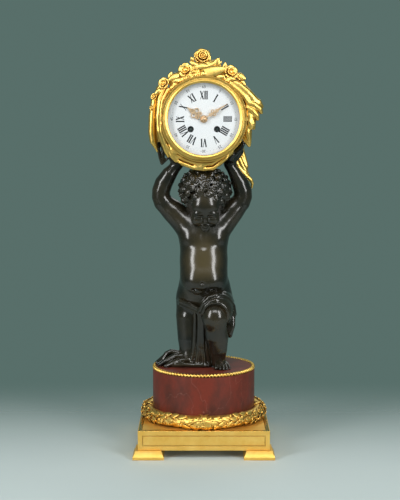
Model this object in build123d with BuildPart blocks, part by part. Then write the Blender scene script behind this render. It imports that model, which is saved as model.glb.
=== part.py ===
"""Figural mantel clock: a kneeling bronze child carries a drum clock on a red marble base.

Millimetres, +Z up, the front faces -Y.  The origin is on the floor at the centre of the four
feet.  Left and right are the viewer's, except on the figure, whose limbs are its own.
"""
import os
from math import atan2, cos, degrees, hypot, pi, radians, sin, sqrt

from build123d import *

os.makedirs("parts", exist_ok=True)

# Fits shared by several pieces
PASS_GAP = 0.3
SEAT_GAP = 0.05
RUN_GAP = 0.05

# Base: feet, plinth, laurel wreath, marble drum, rope ring
FOOT_HEIGHT = 12
FOOT_SIDE = 43
FOOT_NECK = 36
FOOT_TOE = 4
FOOT_OVERHANG = 7
PLINTH_EDGE = 1.4
PLINTH_HEIGHT = 27
PLINTH_WALL = 5
PLINTH_ROOF = 6
PANEL_MARGIN = 6
PANEL_LINE = 1.4
PANEL_DEPTH = 0.8
BOSS_SIDE = 22
BOSS_DEPTH = 16
SCREW_RADIUS = 2.5
SCREW_HEAD = 4.5
SCREW_HEAD_HEIGHT = 3
SCREW_SINK = 2
SCREW_BITE = 11
DRUM_RADIUS = 73.2
DRUM_HEIGHT = 74
WREATH_TUBE = 10.2
WREATH_REACH = 6.2
WREATH_SINK = 0.6
RIBBON_SWELL = 0.8
RIBBON_ARC = 7
ROPE_RADIUS = 2.2

# Studs that bolt the figure through the marble to the plinth
STUD_RADIUS = 3
STUD_BITE = 13
STUD_TAIL = 9
WASHER_RADIUS = 8
WASHER_THICK = 1.5
NUT_RADIUS = 5.8
NUT_HEIGHT = 5

# Figure: the carried case stands CARRY_HEIGHT above the marble
CARRY_HEIGHT = 293.5
KNEE_X = 18
FOOT_X = 20
FIGURE_Y = 12
HEAD_X = 2
HAIR_RADIUS = 33
HAIR_HEIGHT = 30
CURL_RADIUS = 9
CURL_SPREAD = 1.6
CURL_COUNT = 26
FACE_RADIUS = 24.5
FACE_HEIGHT = 31
ELBOW_RIGHT = 62
ELBOW_LEFT = 57.5

# Clock case: its rings, glass and door are set in from the case by these margins
CASE_RADIUS = 59.5
CASE_WALL = 3
LIP_WIDTH = 6.5
BEZEL_INSET = 2.5
BEZEL_WIDTH = 7.4
BEZEL_HEIGHT = 5.2
GLASS_LAP = 2.2
GLASS_EDGE = 2
GLASS_RISE = 6.5
KNUCKLE_RADIUS = 1.8
KNUCKLE_LENGTH = 5
PIN_RADIUS = 0.8
RING_SPIGOT = 3
BACK_RING_THICK = 3
BACK_RING_WIDTH = 10
DOOR_INSET = 2.5
DOOR_THICK = 1.6
DOOR_FRET = 4.5

# Pleats of the gilt cloth, as shares of the fall that they stand on
PLEAT_LEANS = (-0.62, 0, 0.62)
PLEAT_STAND = 0.45
PLEAT_WIDTH = 0.3
PLEAT_RISE = 0.75

# Dial and hands
DIAL_FACE = -40
DIAL_LAP = 2.4
DIAL_THICK = 1.6
DIAL_PLATE_INSET = 5.1
DIAL_PLATE_THICK = 1.2
RING_STAND = 3
WINDING_X = 18.2
WINDING_DROP = 13.9
WINDING_HOLE = 4.4
HOUR_ANGLE = 304.75
HOUR_LENGTH = 29
MINUTE_ANGLE = 57
MINUTE_LENGTH = 40
HAND_THICK = 0.8
HAND_BOSS = 2
HAND_LINE = 1.4
SCROLL_RADIUS = 3.2
HAND_ROOM = 1.4

# Movement
MOTION_ROOM = 8
PLATE_RADIUS = 44
PLATE_THICK = 2.4
PLATE_ROOM = 32.5
PENDULUM_ROOM = 31.5
PILLAR_RADIUS = 2.6
PILLAR_HIGH = (26, 29)
PILLAR_LOW = (12, -37.5)
ARBOR_RADIUS = 0.75
PIVOT_RADIUS = 0.5
STOUT_RADIUS = 1.1
WINDING_RADIUS = 2.2
SQUARE_SIDE = 2.9
WHEEL_THICK = 1.2
LEAF_LENGTH = 2.8
BARREL_RADIUS = 16
BARREL_LENGTH = 16
GREAT_TEETH = 72
GREAT_RADIUS = 16.8
SECOND_LEAVES = 12
SECOND_TEETH = 64
SECOND_TURN = 95
CENTRE_LEAVES = 12
CENTRE_TEETH = 96
CENTRE_MODULE = 0.3
THIRD_LEAVES = 8
THIRD_TEETH = 96
THIRD_MODULE = 0.27
ESCAPE_LEAVES = 8
ESCAPE_TEETH = 44
ESCAPE_RADIUS = 8
ESCAPE_RISE = 27
ANCHOR_RISE = 38.5
PALLET_GAP = 0.8
CANNON_LEAVES = 12
CANNON_MODULE = 0.6
CANNON_PIPE = 2.2
PIPE_STEP = 1
CENTRE_PIN = 0.9
MINUTE_TEETH = 36
MINUTE_LEAVES = 10
HOUR_TEETH = 40
STRIKE_TURN = 120
STRIKE_TEETH = 60
STRIKE_MODULE = 0.4
FLY_LEAVES = 10
FLY_TURN = 100
FLY_REACH = 7
COUNT_RADIUS = 13
HAMMER_X = -14
HAMMER_RISE = 24
HAMMER_DROP = 30
HAMMER_RADIUS = 3.5
BELL_X = 19
BELL_DROP = 6
BELL_RADIUS = 28
BELL_DEPTH = 13
BELL_WALL = 1.6
BELL_STAND = 10.5
POST_RADIUS = 2.6
PENDULUM_LENGTH = 76
PENDULUM_STAND = 5.5
CRUTCH_DROP = 22
COCK_HALF = 8
ROD_RADIUS = 0.9
BOB_RADIUS = 10
BOB_THICK = 5
STRAP_SIDE = 5
STRAP_INSET = 8.1
STRAP_SCREW = 1.25
STRAP_SCREW_BITE = 7
STRAP_SCREW_HEAD = 2.5
STRAP_SCREW_HEAD_HEIGHT = 1.5

# Heights worked out from the stack of the base
plinth_top = FOOT_HEIGHT + PLINTH_HEIGHT
roof_under = plinth_top - PLINTH_ROOF
drum_top = plinth_top + DRUM_HEIGHT
axis_z = drum_top + CARRY_HEIGHT + CASE_RADIUS
plinth_side = 2 * (DRUM_RADIUS + WREATH_REACH + WREATH_TUBE + PLINTH_EDGE)
foot_centre = plinth_side / 2 + FOOT_OVERHANG - FOOT_SIDE / 2
stud_places = [(-KNEE_X, FIGURE_Y - 4), (FOOT_X, FIGURE_Y - 32)]

# Radii worked out from the case inwards
case_lip = CASE_RADIUS - LIP_WIDTH
bezel_radius = CASE_RADIUS - BEZEL_INSET
bezel_sight = bezel_radius - BEZEL_WIDTH
glass_radius = bezel_sight + GLASS_LAP
back_ring_sight = CASE_RADIUS - BACK_RING_WIDTH
door_radius = CASE_RADIUS - DOOR_INSET
dial_radius = bezel_sight + DIAL_LAP
dial_plate_radius = CASE_RADIUS - DIAL_PLATE_INSET
strap_x = CASE_RADIUS - STRAP_INSET

# Depths worked out from the dial face towards the back
ring_front = DIAL_FACE - RING_STAND
dial_back = DIAL_FACE + DIAL_THICK
dial_plate_back = dial_back + DIAL_PLATE_THICK
front_plate_front = dial_plate_back + MOTION_ROOM
front_plate_back = front_plate_front + PLATE_THICK
back_plate_front = front_plate_back + PLATE_ROOM
back_plate_back = back_plate_front + PLATE_THICK
case_back = back_plate_back + PENDULUM_ROOM
bezel_back = ring_front - PASS_GAP


def upright(depth, x=0, z=0, clockwise=0):
    """Plane facing the viewer at a depth; its y axis points up, turned clockwise by an angle."""
    turn = radians(clockwise)
    return Plane(origin=(x, depth, axis_z + z), x_dir=(cos(turn), 0, -sin(turn)), z_dir=(0, -1, 0))


def turned(outline, x=0, z=0):
    """Solid turned about a front-to-back axis; the outline holds (radius, depth) points."""
    origin = (x, 0, axis_z + z)
    with BuildPart() as piece:
        with BuildSketch(Plane(origin=origin, x_dir=(1, 0, 0), z_dir=(0, 0, 1))):
            with BuildLine():
                Polyline(*outline, close=True)
            make_face()
        revolve(axis=Axis(origin, (0, 1, 0)))
    return piece.part


def bar(radius, front, back, x=0, z=0, bore=0):
    """Round bar or tube that runs from front to back."""
    return turned([(bore, front), (radius, front), (radius, back), (bore, back)], x, z)


def limb(stations, across, base):
    """Loft through ellipses set square to a path; a station is x, y, z, half width, half thickness."""
    points = [Vector(station[0], station[1], base + station[2]) for station in stations]
    with BuildPart() as piece:
        for index, station in enumerate(stations):
            before = points[max(index - 1, 0)]
            after = points[min(index + 1, len(points) - 1)]
            tangent = (after - before).normalized()
            width = Vector(*across)
            width = width - tangent * width.dot(tangent)
            with BuildSketch(Plane(origin=points[index], x_dir=width, z_dir=tangent)):
                Ellipse(station[3], station[4])
        loft()
    return piece.part


def ball(radius, x, y, z):
    """Sphere at a place."""
    with BuildPart() as piece:
        with Locations((x, y, z)):
            Sphere(radius)
    return piece.part


def egg(radius, half_height, plane):
    """Ellipsoid turned about the plane's own y axis."""
    with BuildPart() as piece:
        with BuildSketch(plane):
            Ellipse(radius, half_height)
            with Locations((-radius, 0)):
                Rectangle(2 * radius, 3 * half_height, mode=Mode.SUBTRACT)
        revolve(axis=Axis(plane.origin, plane.y_dir))
    return piece.part


def toothed(teeth, pitch_radius, root_share, tip_share, phase, front, back, x, z):
    """Toothed disc with straight-sided teeth; phase is the angle of one tooth from +X."""
    module = 2 * pitch_radius / teeth
    tip = pitch_radius + 0.75 * module
    root = pitch_radius - 1.1 * module
    step = 360 / teeth
    corners = []
    for tooth in range(teeth):
        middle = phase + tooth * step
        for radius, turn in ((root, -root_share), (tip, -tip_share), (tip, tip_share), (root, root_share)):
            angle = radians(middle + turn * step)
            corners.append((radius * cos(angle), radius * sin(angle)))
    with BuildPart() as piece:
        with BuildSketch(upright(back, x, z)):
            with BuildLine():
                Polyline(*corners, close=True)
            make_face()
        extrude(amount=back - front)
    return piece.part


def wheel(teeth, pitch_radius, phase, front, x, z):
    """Wheel with five round crossings."""
    back = front + WHEEL_THICK
    with BuildPart() as piece:
        add(toothed(teeth, pitch_radius, 0.31, 0.13, phase, front, back, x, z))
        with BuildSketch(upright(back, x, z)):
            with PolarLocations(0.54 * pitch_radius, 5):
                Circle(0.27 * pitch_radius)
        extrude(amount=WHEEL_THICK, mode=Mode.SUBTRACT)
    return piece.part


def pinion(leaves, pitch_radius, phase, front, x, z):
    """Pinion with narrow leaves."""
    return toothed(leaves, pitch_radius, 0.22, 0.1, phase, front, front + LEAF_LENGTH, x, z)


def arbor(front, back, x, z):
    """Train arbor with a thin pivot in each plate."""
    return turned(
        [
            (0, front_plate_front),
            (PIVOT_RADIUS, front_plate_front),
            (PIVOT_RADIUS, front),
            (ARBOR_RADIUS, front),
            (ARBOR_RADIUS, back),
            (PIVOT_RADIUS, back),
            (PIVOT_RADIUS, back_plate_back),
            (0, back_plate_back),
        ],
        x,
        z,
    )


def keep(piece, name):
    """Names one finished piece and writes its file."""
    piece.label = name
    export_step(piece, f"parts/{name}.step")


# Feet: four spreading block feet, alike, each held by one screw from below
def foot(x, y):
    """Block foot, square below and drawn in to the neck under the plinth."""
    with BuildPart() as piece:
        with BuildSketch(Plane.XY.offset(0)):
            with Locations((x, y)):
                Rectangle(FOOT_SIDE, FOOT_SIDE)
        extrude(amount=FOOT_TOE)
        with BuildSketch(Plane.XY.offset(FOOT_TOE)):
            with Locations((x, y)):
                Rectangle(FOOT_SIDE, FOOT_SIDE)
        with BuildSketch(Plane.XY.offset((FOOT_TOE + FOOT_HEIGHT) / 2)):
            with Locations((x, y)):
                Rectangle((FOOT_SIDE + 2 * FOOT_NECK) / 3, (FOOT_SIDE + 2 * FOOT_NECK) / 3)
        with BuildSketch(Plane.XY.offset(FOOT_HEIGHT)):
            with Locations((x, y)):
                Rectangle(FOOT_NECK, FOOT_NECK)
        loft()
        with Locations((x, y, 0)):
            Cylinder(
                SCREW_HEAD + PASS_GAP,
                SCREW_SINK + SCREW_HEAD_HEIGHT,
                align=(Align.CENTER, Align.CENTER, Align.MIN),
                mode=Mode.SUBTRACT,
            )
            Cylinder(
                SCREW_RADIUS + PASS_GAP,
                FOOT_HEIGHT,
                align=(Align.CENTER, Align.CENTER, Align.MIN),
                mode=Mode.SUBTRACT,
            )
    return piece.part


keep(foot(-foot_centre, -foot_centre), "foot_front_left")
keep(foot(foot_centre, -foot_centre), "foot_front_right")
keep(foot(-foot_centre, foot_centre), "foot_rear_left")
keep(foot(foot_centre, foot_centre), "foot_rear_right")

foot_corners = [(x, y) for x in (-foot_centre, foot_centre) for y in (-foot_centre, foot_centre)]
with BuildPart() as foot_screws:
    with Locations(*[(x, y, SCREW_SINK) for x, y in foot_corners]):
        Cylinder(SCREW_HEAD, SCREW_HEAD_HEIGHT, align=(Align.CENTER, Align.CENTER, Align.MIN))
        Cylinder(
            SCREW_RADIUS,
            FOOT_HEIGHT - SCREW_SINK + SCREW_BITE,
            align=(Align.CENTER, Align.CENTER, Align.MIN),
        )
keep(foot_screws.part, "foot_screws")

# Plinth: hollow square casting with an incised frame on each side and bosses for the foot screws
with BuildPart() as plinth:
    with BuildSketch(Plane.XY.offset(FOOT_HEIGHT)):
        Rectangle(plinth_side, plinth_side)
    extrude(amount=PLINTH_HEIGHT)
    with BuildSketch(Plane.XY.offset(FOOT_HEIGHT)):
        Rectangle(plinth_side - 2 * PLINTH_WALL, plinth_side - 2 * PLINTH_WALL)
    extrude(amount=PLINTH_HEIGHT - PLINTH_ROOF, mode=Mode.SUBTRACT)
    with BuildSketch(Plane.XY.offset(FOOT_HEIGHT)):
        with Locations(*foot_corners):
            Rectangle(BOSS_SIDE, BOSS_SIDE)
    extrude(amount=PLINTH_HEIGHT - PLINTH_ROOF)
    with BuildSketch(Plane.XY.offset(FOOT_HEIGHT)):
        with Locations(*foot_corners):
            Circle(SCREW_RADIUS + SEAT_GAP)
    extrude(amount=BOSS_DEPTH, mode=Mode.SUBTRACT)
    with BuildSketch(Plane.XY.offset(roof_under)):
        with Locations(*stud_places):
            Circle(STUD_RADIUS + PASS_GAP)
    extrude(amount=PLINTH_ROOF, mode=Mode.SUBTRACT)
    for quarter in range(4):
        front = Plane.XZ.offset(plinth_side / 2)
        side = Plane(Location((0, 0, 0), (0, 0, 90 * quarter)) * front.location)
        with BuildSketch(side):
            with Locations((0, FOOT_HEIGHT + PLINTH_HEIGHT / 2)):
                Rectangle(plinth_side - 2 * PANEL_MARGIN, PLINTH_HEIGHT - 2 * PANEL_MARGIN)
                Rectangle(
                    plinth_side - 2 * PANEL_MARGIN - 2 * PANEL_LINE,
                    PLINTH_HEIGHT - 2 * PANEL_MARGIN - 2 * PANEL_LINE,
                    mode=Mode.SUBTRACT,
                )
        extrude(amount=-PANEL_DEPTH, mode=Mode.SUBTRACT)
keep(plinth.part, "plinth")

# Marble drum with a rebate at its top edge for the rope ring and two stud holes
rope_middle = DRUM_RADIUS - ROPE_RADIUS
with BuildPart() as marble_drum:
    with BuildSketch(Plane.XY.offset(plinth_top)):
        Circle(DRUM_RADIUS)
        with Locations(*stud_places):
            Circle(STUD_RADIUS + PASS_GAP, mode=Mode.SUBTRACT)
    extrude(amount=DRUM_HEIGHT)
    with BuildSketch(Plane.XY.offset(drum_top)):
        Circle(DRUM_RADIUS)
        Circle(rope_middle - ROPE_RADIUS - SEAT_GAP, mode=Mode.SUBTRACT)
    extrude(amount=-1.4 * ROPE_RADIUS, mode=Mode.SUBTRACT)
keep(marble_drum.part, "marble_drum")

with BuildPart() as rope_ring:
    with BuildSketch(Plane.XZ):
        with Locations((rope_middle, drum_top - 0.4 * ROPE_RADIUS + SEAT_GAP)):
            Circle(ROPE_RADIUS)
    revolve(axis=Axis.Z)
keep(rope_ring.part, "rope_ring")

# Laurel wreath: a round tube about the marble, bound by ribbons at the four sides
wreath_middle = DRUM_RADIUS + WREATH_REACH
wreath_height = plinth_top + WREATH_TUBE - WREATH_SINK
with BuildPart() as laurel_wreath:
    with BuildSketch(Plane.XZ):
        with Locations((wreath_middle, wreath_height)):
            Circle(WREATH_TUBE)
    revolve(axis=Axis.Z)
    for quarter in range(4):
        start = Plane(Location((0, 0, 0), (0, 0, 90 * quarter - RIBBON_ARC / 2)) * Plane.XZ.location)
        with BuildSketch(start):
            with Locations((wreath_middle, wreath_height)):
                Circle(WREATH_TUBE + RIBBON_SWELL)
        revolve(axis=Axis.Z, revolution_arc=RIBBON_ARC)
    with BuildSketch(Plane.XY.offset(plinth_top)):
        Circle(2 * DRUM_RADIUS)
    extrude(amount=-WREATH_TUBE, mode=Mode.SUBTRACT)
    with BuildSketch(Plane.XY.offset(plinth_top)):
        Circle(DRUM_RADIUS + SEAT_GAP)
    extrude(amount=DRUM_HEIGHT, mode=Mode.SUBTRACT)
keep(laurel_wreath.part, "laurel_wreath")

# Studs with washers and nuts that bolt the figure through the marble to the plinth
washer_under = roof_under - WASHER_THICK
with BuildPart() as figure_studs:
    with BuildSketch(Plane.XY.offset(roof_under - STUD_TAIL)):
        with Locations(*stud_places):
            Circle(STUD_RADIUS)
    extrude(amount=drum_top + STUD_BITE - roof_under + STUD_TAIL)
keep(figure_studs.part, "figure_studs")

with BuildPart() as stud_nuts:
    with BuildSketch(Plane.XY.offset(washer_under + SEAT_GAP)):
        with Locations(*stud_places):
            Circle(WASHER_RADIUS)
            Circle(STUD_RADIUS + SEAT_GAP, mode=Mode.SUBTRACT)
    extrude(amount=WASHER_THICK - SEAT_GAP)
    with BuildSketch(Plane.XY.offset(washer_under - NUT_HEIGHT)):
        with Locations(*stud_places):
            RegularPolygon(NUT_RADIUS, 6)
            Circle(STUD_RADIUS + SEAT_GAP, mode=Mode.SUBTRACT)
    extrude(amount=NUT_HEIGHT)
keep(stud_nuts.part, "stud_nuts")

# Shapes taken out of the castings where the case sits and where the studs screw in
case_room = bar(CASE_RADIUS + SEAT_GAP, ring_front - BEZEL_HEIGHT, case_back + BEZEL_HEIGHT)
with BuildPart() as stud_room:
    with BuildSketch(Plane.XY.offset(drum_top)):
        with Locations(*stud_places):
            Circle(STUD_RADIUS + SEAT_GAP)
    extrude(amount=STUD_BITE + PASS_GAP)
with BuildPart() as below_marble:
    with BuildSketch(Plane.XY.offset(drum_top)):
        Circle(2 * DRUM_RADIUS)
    extrude(amount=-DRUM_HEIGHT)

# Figure torso: belly, chest and shoulders of a kneeling child; stations rise from the pelvis
figure_torso = limb(
    [
        (0, FIGURE_Y + 1, 82, 27, 23),
        (0, FIGURE_Y, 96, 35, 28),
        (0, FIGURE_Y - 4, 112, 37.5, 28.5),
        (0, FIGURE_Y - 10, 132, 36.5, 30),
        (0, FIGURE_Y - 12, 150, 34.8, 30),
        (0, FIGURE_Y - 9, 168, 33.5, 27),
        (0, FIGURE_Y - 6, 188, 36, 24.5),
        (0, FIGURE_Y - 5, 203, 36, 23),
        (0, FIGURE_Y - 5, 215, 28, 19),
        (0, FIGURE_Y - 7, 224, 16, 13),
    ],
    (1, 0, 0),
    drum_top,
)
keep(figure_torso, "figure_torso")

# Kneeling leg: upright thigh, knee on the marble, shin and foot laid back
with BuildPart() as figure_right_leg:
    add(
        limb(
            [
                (-KNEE_X - 1, FIGURE_Y + 2, 106, 20, 19.5),
                (-KNEE_X - 1, FIGURE_Y, 82, 21.5, 21),
                (-KNEE_X - 1, FIGURE_Y - 3, 58, 21, 20.5),
                (-KNEE_X, FIGURE_Y - 5, 34, 18.5, 18),
                (-KNEE_X, FIGURE_Y - 6, 14, 15.5, 15),
                (-KNEE_X, FIGURE_Y - 6, 1, 12, 11.5),
            ],
            (1, 0, 0),
            drum_top,
        )
    )
    add(
        limb(
            [
                (-KNEE_X, FIGURE_Y - 6, 14, 14, 13.5),
                (-KNEE_X + 2, FIGURE_Y + 12, 13.5, 14, 13.5),
                (-KNEE_X + 4, FIGURE_Y + 28, 12, 12, 11.5),
                (-KNEE_X + 5, FIGURE_Y + 42, 9, 9, 8.5),
                (-KNEE_X + 5, FIGURE_Y + 52, 9, 8.5, 8),
            ],
            (1, 0, 0),
            drum_top,
        )
    )
    add(figure_torso, mode=Mode.SUBTRACT)
    add(stud_room.part, mode=Mode.SUBTRACT)
    add(below_marble.part, mode=Mode.SUBTRACT)
keep(figure_right_leg.part, "figure_right_leg")

# Raised leg: level thigh, knee to the front, upright shin and planted foot
with BuildPart() as figure_left_leg:
    add(
        limb(
            [
                (FOOT_X - 1, FIGURE_Y + 2, 94, 20, 19.5),
                (FOOT_X - 1, FIGURE_Y - 16, 90, 21, 20.5),
                (FOOT_X - 2, FIGURE_Y - 32, 83, 20, 19.5),
                (FOOT_X - 3, FIGURE_Y - 44, 78, 18, 17.5),
                (FOOT_X - 3, FIGURE_Y - 54, 75, 11, 10.5),
            ],
            (1, 0, 0),
            drum_top,
        )
    )
    add(
        limb(
            [
                (FOOT_X - 3, FIGURE_Y - 40, 80, 17, 16.5),
                (FOOT_X - 2, FIGURE_Y - 38, 62, 17.5, 17),
                (FOOT_X - 1, FIGURE_Y - 35, 44, 16.5, 16),
                (FOOT_X - 0.5, FIGURE_Y - 34, 27, 13, 12.5),
                (FOOT_X, FIGURE_Y - 33, 14, 10.5, 10),
                (FOOT_X, FIGURE_Y - 32, 4, 10, 9.5),
            ],
            (1, 0, 0),
            drum_top,
        )
    )
    add(
        limb(
            [
                (FOOT_X, FIGURE_Y - 18, 8, 8, 7.5),
                (FOOT_X + 1, FIGURE_Y - 29, 8.5, 10.5, 9),
                (FOOT_X + 3, FIGURE_Y - 40, 6.5, 11.5, 6.5),
                (FOOT_X + 5, FIGURE_Y - 51, 4, 11, 4.5),
                (FOOT_X + 5.5, FIGURE_Y - 56, 3, 8, 3),
            ],
            (1, 0, 0),
            drum_top,
        )
    )
    add(figure_torso, mode=Mode.SUBTRACT)
    add(figure_right_leg.part, mode=Mode.SUBTRACT)
    add(stud_room.part, mode=Mode.SUBTRACT)
    add(below_marble.part, mode=Mode.SUBTRACT)
keep(figure_left_leg.part, "figure_left_leg")


# Arms: upper arm out to the elbow, forearm up to the wrist, hand laid along the case
def arm(side, elbow):
    """One raised arm; side is -1 for the viewer's left and 1 for the right."""

    def on_case(angle, radius, half_width, half_thick):
        """Station of the hand at an angle below the horizontal about the clock axis."""
        turn = radians(angle)
        rise = CARRY_HEIGHT + CASE_RADIUS - radius * sin(turn)
        return (side * radius * cos(turn), 0, rise, half_width, half_thick)

    with BuildPart() as piece:
        add(
            limb(
                [
                    (side * 22, FIGURE_Y - 4, 199, 15.5, 15),
                    (side * 35, FIGURE_Y - 4, 209, 13.5, 13),
                    (side * 47, FIGURE_Y - 8, 221, 12.2, 11.8),
                    (side * elbow, FIGURE_Y - 12, 241, 12, 11.6),
                    (side * (elbow - 4), FIGURE_Y - 13, 257, 11.4, 11),
                    (side * (elbow - 13), FIGURE_Y - 13, 274, 9.4, 9),
                    (side * 41, FIGURE_Y - 12, 287, 8, 7.2),
                    on_case(51, CASE_RADIUS + 11, 11, 6),
                    on_case(41, CASE_RADIUS + 8, 13, 5),
                    on_case(29, CASE_RADIUS + 5, 10, 3.4),
                ],
                (0, 1, 0),
                drum_top,
            )
        )
        add(figure_torso, mode=Mode.SUBTRACT)
        add(case_room, mode=Mode.SUBTRACT)
    return piece.part


figure_right_arm = arm(-1, ELBOW_RIGHT)
keep(figure_right_arm, "figure_right_arm")
figure_left_arm = arm(1, ELBOW_LEFT)
keep(figure_left_arm, "figure_left_arm")

# Head: bowed forward, a plain child's face under a mass of curls that meets the case
hair_middle = axis_z - CASE_RADIUS - HAIR_HEIGHT - CURL_RADIUS / 3
hair_y = FIGURE_Y - 12
face_middle = hair_middle - 29
face_y = FIGURE_Y - 24
face_plane = Plane(
    origin=(HEAD_X, face_y, face_middle), x_dir=(1, 0, 0), z_dir=(0, -cos(radians(20)), sin(radians(20)))
)
with BuildPart() as figure_head:
    add(egg(FACE_RADIUS, FACE_HEIGHT, face_plane))
    add(egg(HAIR_RADIUS, HAIR_HEIGHT, Plane(origin=(HEAD_X, hair_y, hair_middle), z_dir=(0, -1, 0))))
    for curl in range(CURL_COUNT):
        level = 1 - CURL_SPREAD * (curl + 0.5) / CURL_COUNT
        spin = curl * pi * (3 - sqrt(5))
        flat = sqrt(1 - level * level)
        curl_x = HEAD_X + (HAIR_RADIUS - CURL_RADIUS / 2) * flat * cos(spin)
        curl_y = hair_y + (HAIR_RADIUS - CURL_RADIUS / 2) * flat * sin(spin)
        curl_z = hair_middle + (HAIR_HEIGHT - CURL_RADIUS / 2) * level
        if level > -0.1 or curl_y > hair_y or abs(curl_x - HEAD_X) > FACE_RADIUS:
            add(ball(CURL_RADIUS, curl_x, curl_y, curl_z))
    add(figure_torso, mode=Mode.SUBTRACT)
    add(figure_right_arm, mode=Mode.SUBTRACT)
    add(figure_left_arm, mode=Mode.SUBTRACT)
    add(case_room, mode=Mode.SUBTRACT)
keep(figure_head.part, "figure_head")

# Loincloth: roll about the right hip, cloth over the raised thigh, folds between the legs and at the side
with BuildPart() as figure_drapery:
    add(
        limb(
            [
                (FOOT_X - 1, FIGURE_Y + 4, 93, 25, 24.5),
                (FOOT_X - 1, FIGURE_Y - 12, 90, 25.5, 25),
                (FOOT_X - 2, FIGURE_Y - 28, 84, 24, 23.5),
                (FOOT_X - 2.5, FIGURE_Y - 38, 80, 22, 21.5),
            ],
            (1, 0, 0),
            drum_top,
        )
    )
    add(
        limb(
            [
                (37, FIGURE_Y + 6, 99, 6, 5),
                (27, FIGURE_Y + 21, 103, 6, 5),
                (0, FIGURE_Y + 28, 105, 6, 5),
                (-28, FIGURE_Y + 20, 104, 6, 5),
                (-38, FIGURE_Y + 3, 102, 5, 4.5),
                (-36, FIGURE_Y - 14, 99, 5, 4.5),
                (-22, FIGURE_Y - 27, 94, 5, 4.5),
                (-4, FIGURE_Y - 29, 90, 5, 4.5),
                (10, FIGURE_Y - 28, 92, 5, 4.5),
            ],
            (0, 0, 1),
            drum_top,
        )
    )
    add(
        limb(
            [
                (2 * FOOT_X + 0.5, FIGURE_Y - 22, 88, 12, 5),
                (2 * FOOT_X + 0.5, FIGURE_Y - 20, 71, 11, 5),
                (2 * FOOT_X - 2, FIGURE_Y - 20, 55, 10, 5),
                (2 * FOOT_X - 6, FIGURE_Y - 22, 43, 7, 4),
            ],
            (0, 1, 0),
            drum_top,
        )
    )
    add(
        limb(
            [
                (0, FIGURE_Y - 26, 90, 8, 6),
                (-1, FIGURE_Y - 18, 60, 8.5, 7),
                (-1, FIGURE_Y - 14, 30, 9, 7),
                (-2, FIGURE_Y - 14, 0, 10, 8),
            ],
            (1, 0, 0),
            drum_top,
        )
    )
    add(figure_torso, mode=Mode.SUBTRACT)
    add(figure_right_leg.part, mode=Mode.SUBTRACT)
    add(figure_left_leg.part, mode=Mode.SUBTRACT)
    add(below_marble.part, mode=Mode.SUBTRACT)
keep(figure_drapery.part, "figure_drapery")

# Fallen cloth: the end of the loincloth spread on the marble beside the kneeling leg
with BuildPart() as ground_cloth:
    add(
        limb(
            [
                (4, FIGURE_Y - 14, 1, 9, 5),
                (-20, FIGURE_Y - 12, 2, 15, 7),
                (-40, FIGURE_Y - 2, 4, 15, 10),
                (-53, FIGURE_Y + 6, 4, 11, 9),
                (-62, FIGURE_Y + 9, 1, 5, 4),
            ],
            (0, 1, 0),
            drum_top,
        )
    )
    add(figure_right_leg.part, mode=Mode.SUBTRACT)
    add(figure_left_leg.part, mode=Mode.SUBTRACT)
    add(figure_drapery.part, mode=Mode.SUBTRACT)
    add(stud_room.part, mode=Mode.SUBTRACT)
    add(below_marble.part, mode=Mode.SUBTRACT)
keep(ground_cloth.part, "ground_cloth")

# Case: a plain tube held between a front ring with the bezel hinge and a back ring with the door hinge
case_bore = CASE_RADIUS - CASE_WALL
hinge_x = bezel_radius + KNUCKLE_RADIUS + 2 * PASS_GAP
knuckle_half = KNUCKLE_LENGTH / 2
back_ring_front = case_back - BACK_RING_THICK
case_drum = bar(CASE_RADIUS, dial_back, back_ring_front, bore=case_bore)
keep(case_drum, "case_drum")


def knuckle(x, y, low, high):
    """Hinge knuckle on an upright axis, bored for the pin; heights are from the clock axis."""
    with BuildPart() as piece:
        with BuildSketch(Plane.XY.offset(axis_z + low)):
            with Locations((x, y)):
                Circle(KNUCKLE_RADIUS)
                Circle(PIN_RADIUS + RUN_GAP, mode=Mode.SUBTRACT)
        extrude(amount=high - low)
    return piece.part


def slab(x_range, y_range, z_range):
    """Rectangular block between the given limits; heights are from the clock axis."""
    x_low, x_high = sorted(x_range)
    y_low, y_high = sorted(y_range)
    z_low, z_high = sorted(z_range)
    with BuildPart() as piece:
        with Locations((x_low, y_low, axis_z + z_low)):
            Box(x_high - x_low, y_high - y_low, z_high - z_low, align=(Align.MIN, Align.MIN, Align.MIN))
    return piece.part


def hinged_ring(outline, side, face, inward):
    """Case ring with two hinge knuckles; side is the hinge's x sign, inward the depth sign into the case."""
    room = KNUCKLE_RADIUS + PASS_GAP
    x = side * hinge_x
    with BuildPart() as piece:
        add(turned(outline))
        add(
            slab(
                (x - side * room, x + side * 2 * room),
                (face - inward * room, face + inward * room),
                (-3 * knuckle_half - PASS_GAP, 3 * knuckle_half + PIN_RADIUS + PASS_GAP),
            ),
            mode=Mode.SUBTRACT,
        )
        for end in (-1, 1):
            heights = sorted((end * (knuckle_half + PASS_GAP), end * 3 * knuckle_half))
            add(knuckle(x, face, heights[0], heights[1]))
            add(
                slab(
                    (x, x - side * (room + 1)),
                    (face + inward * (PIN_RADIUS + 2 * RUN_GAP), face + inward * (room + 0.5)),
                    heights,
                )
            )
    return piece.part


spigot = case_bore - SEAT_GAP
front_ring = hinged_ring(
    [
        (case_lip, ring_front),
        (CASE_RADIUS, ring_front),
        (CASE_RADIUS, dial_back),
        (spigot, dial_back),
        (spigot, dial_back + RING_SPIGOT),
        (dial_plate_radius + SEAT_GAP, dial_back + RING_SPIGOT),
        (dial_plate_radius + SEAT_GAP, dial_back),
        (case_lip, dial_back),
    ],
    -1,
    ring_front,
    1,
)
keep(front_ring, "front_ring")

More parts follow.
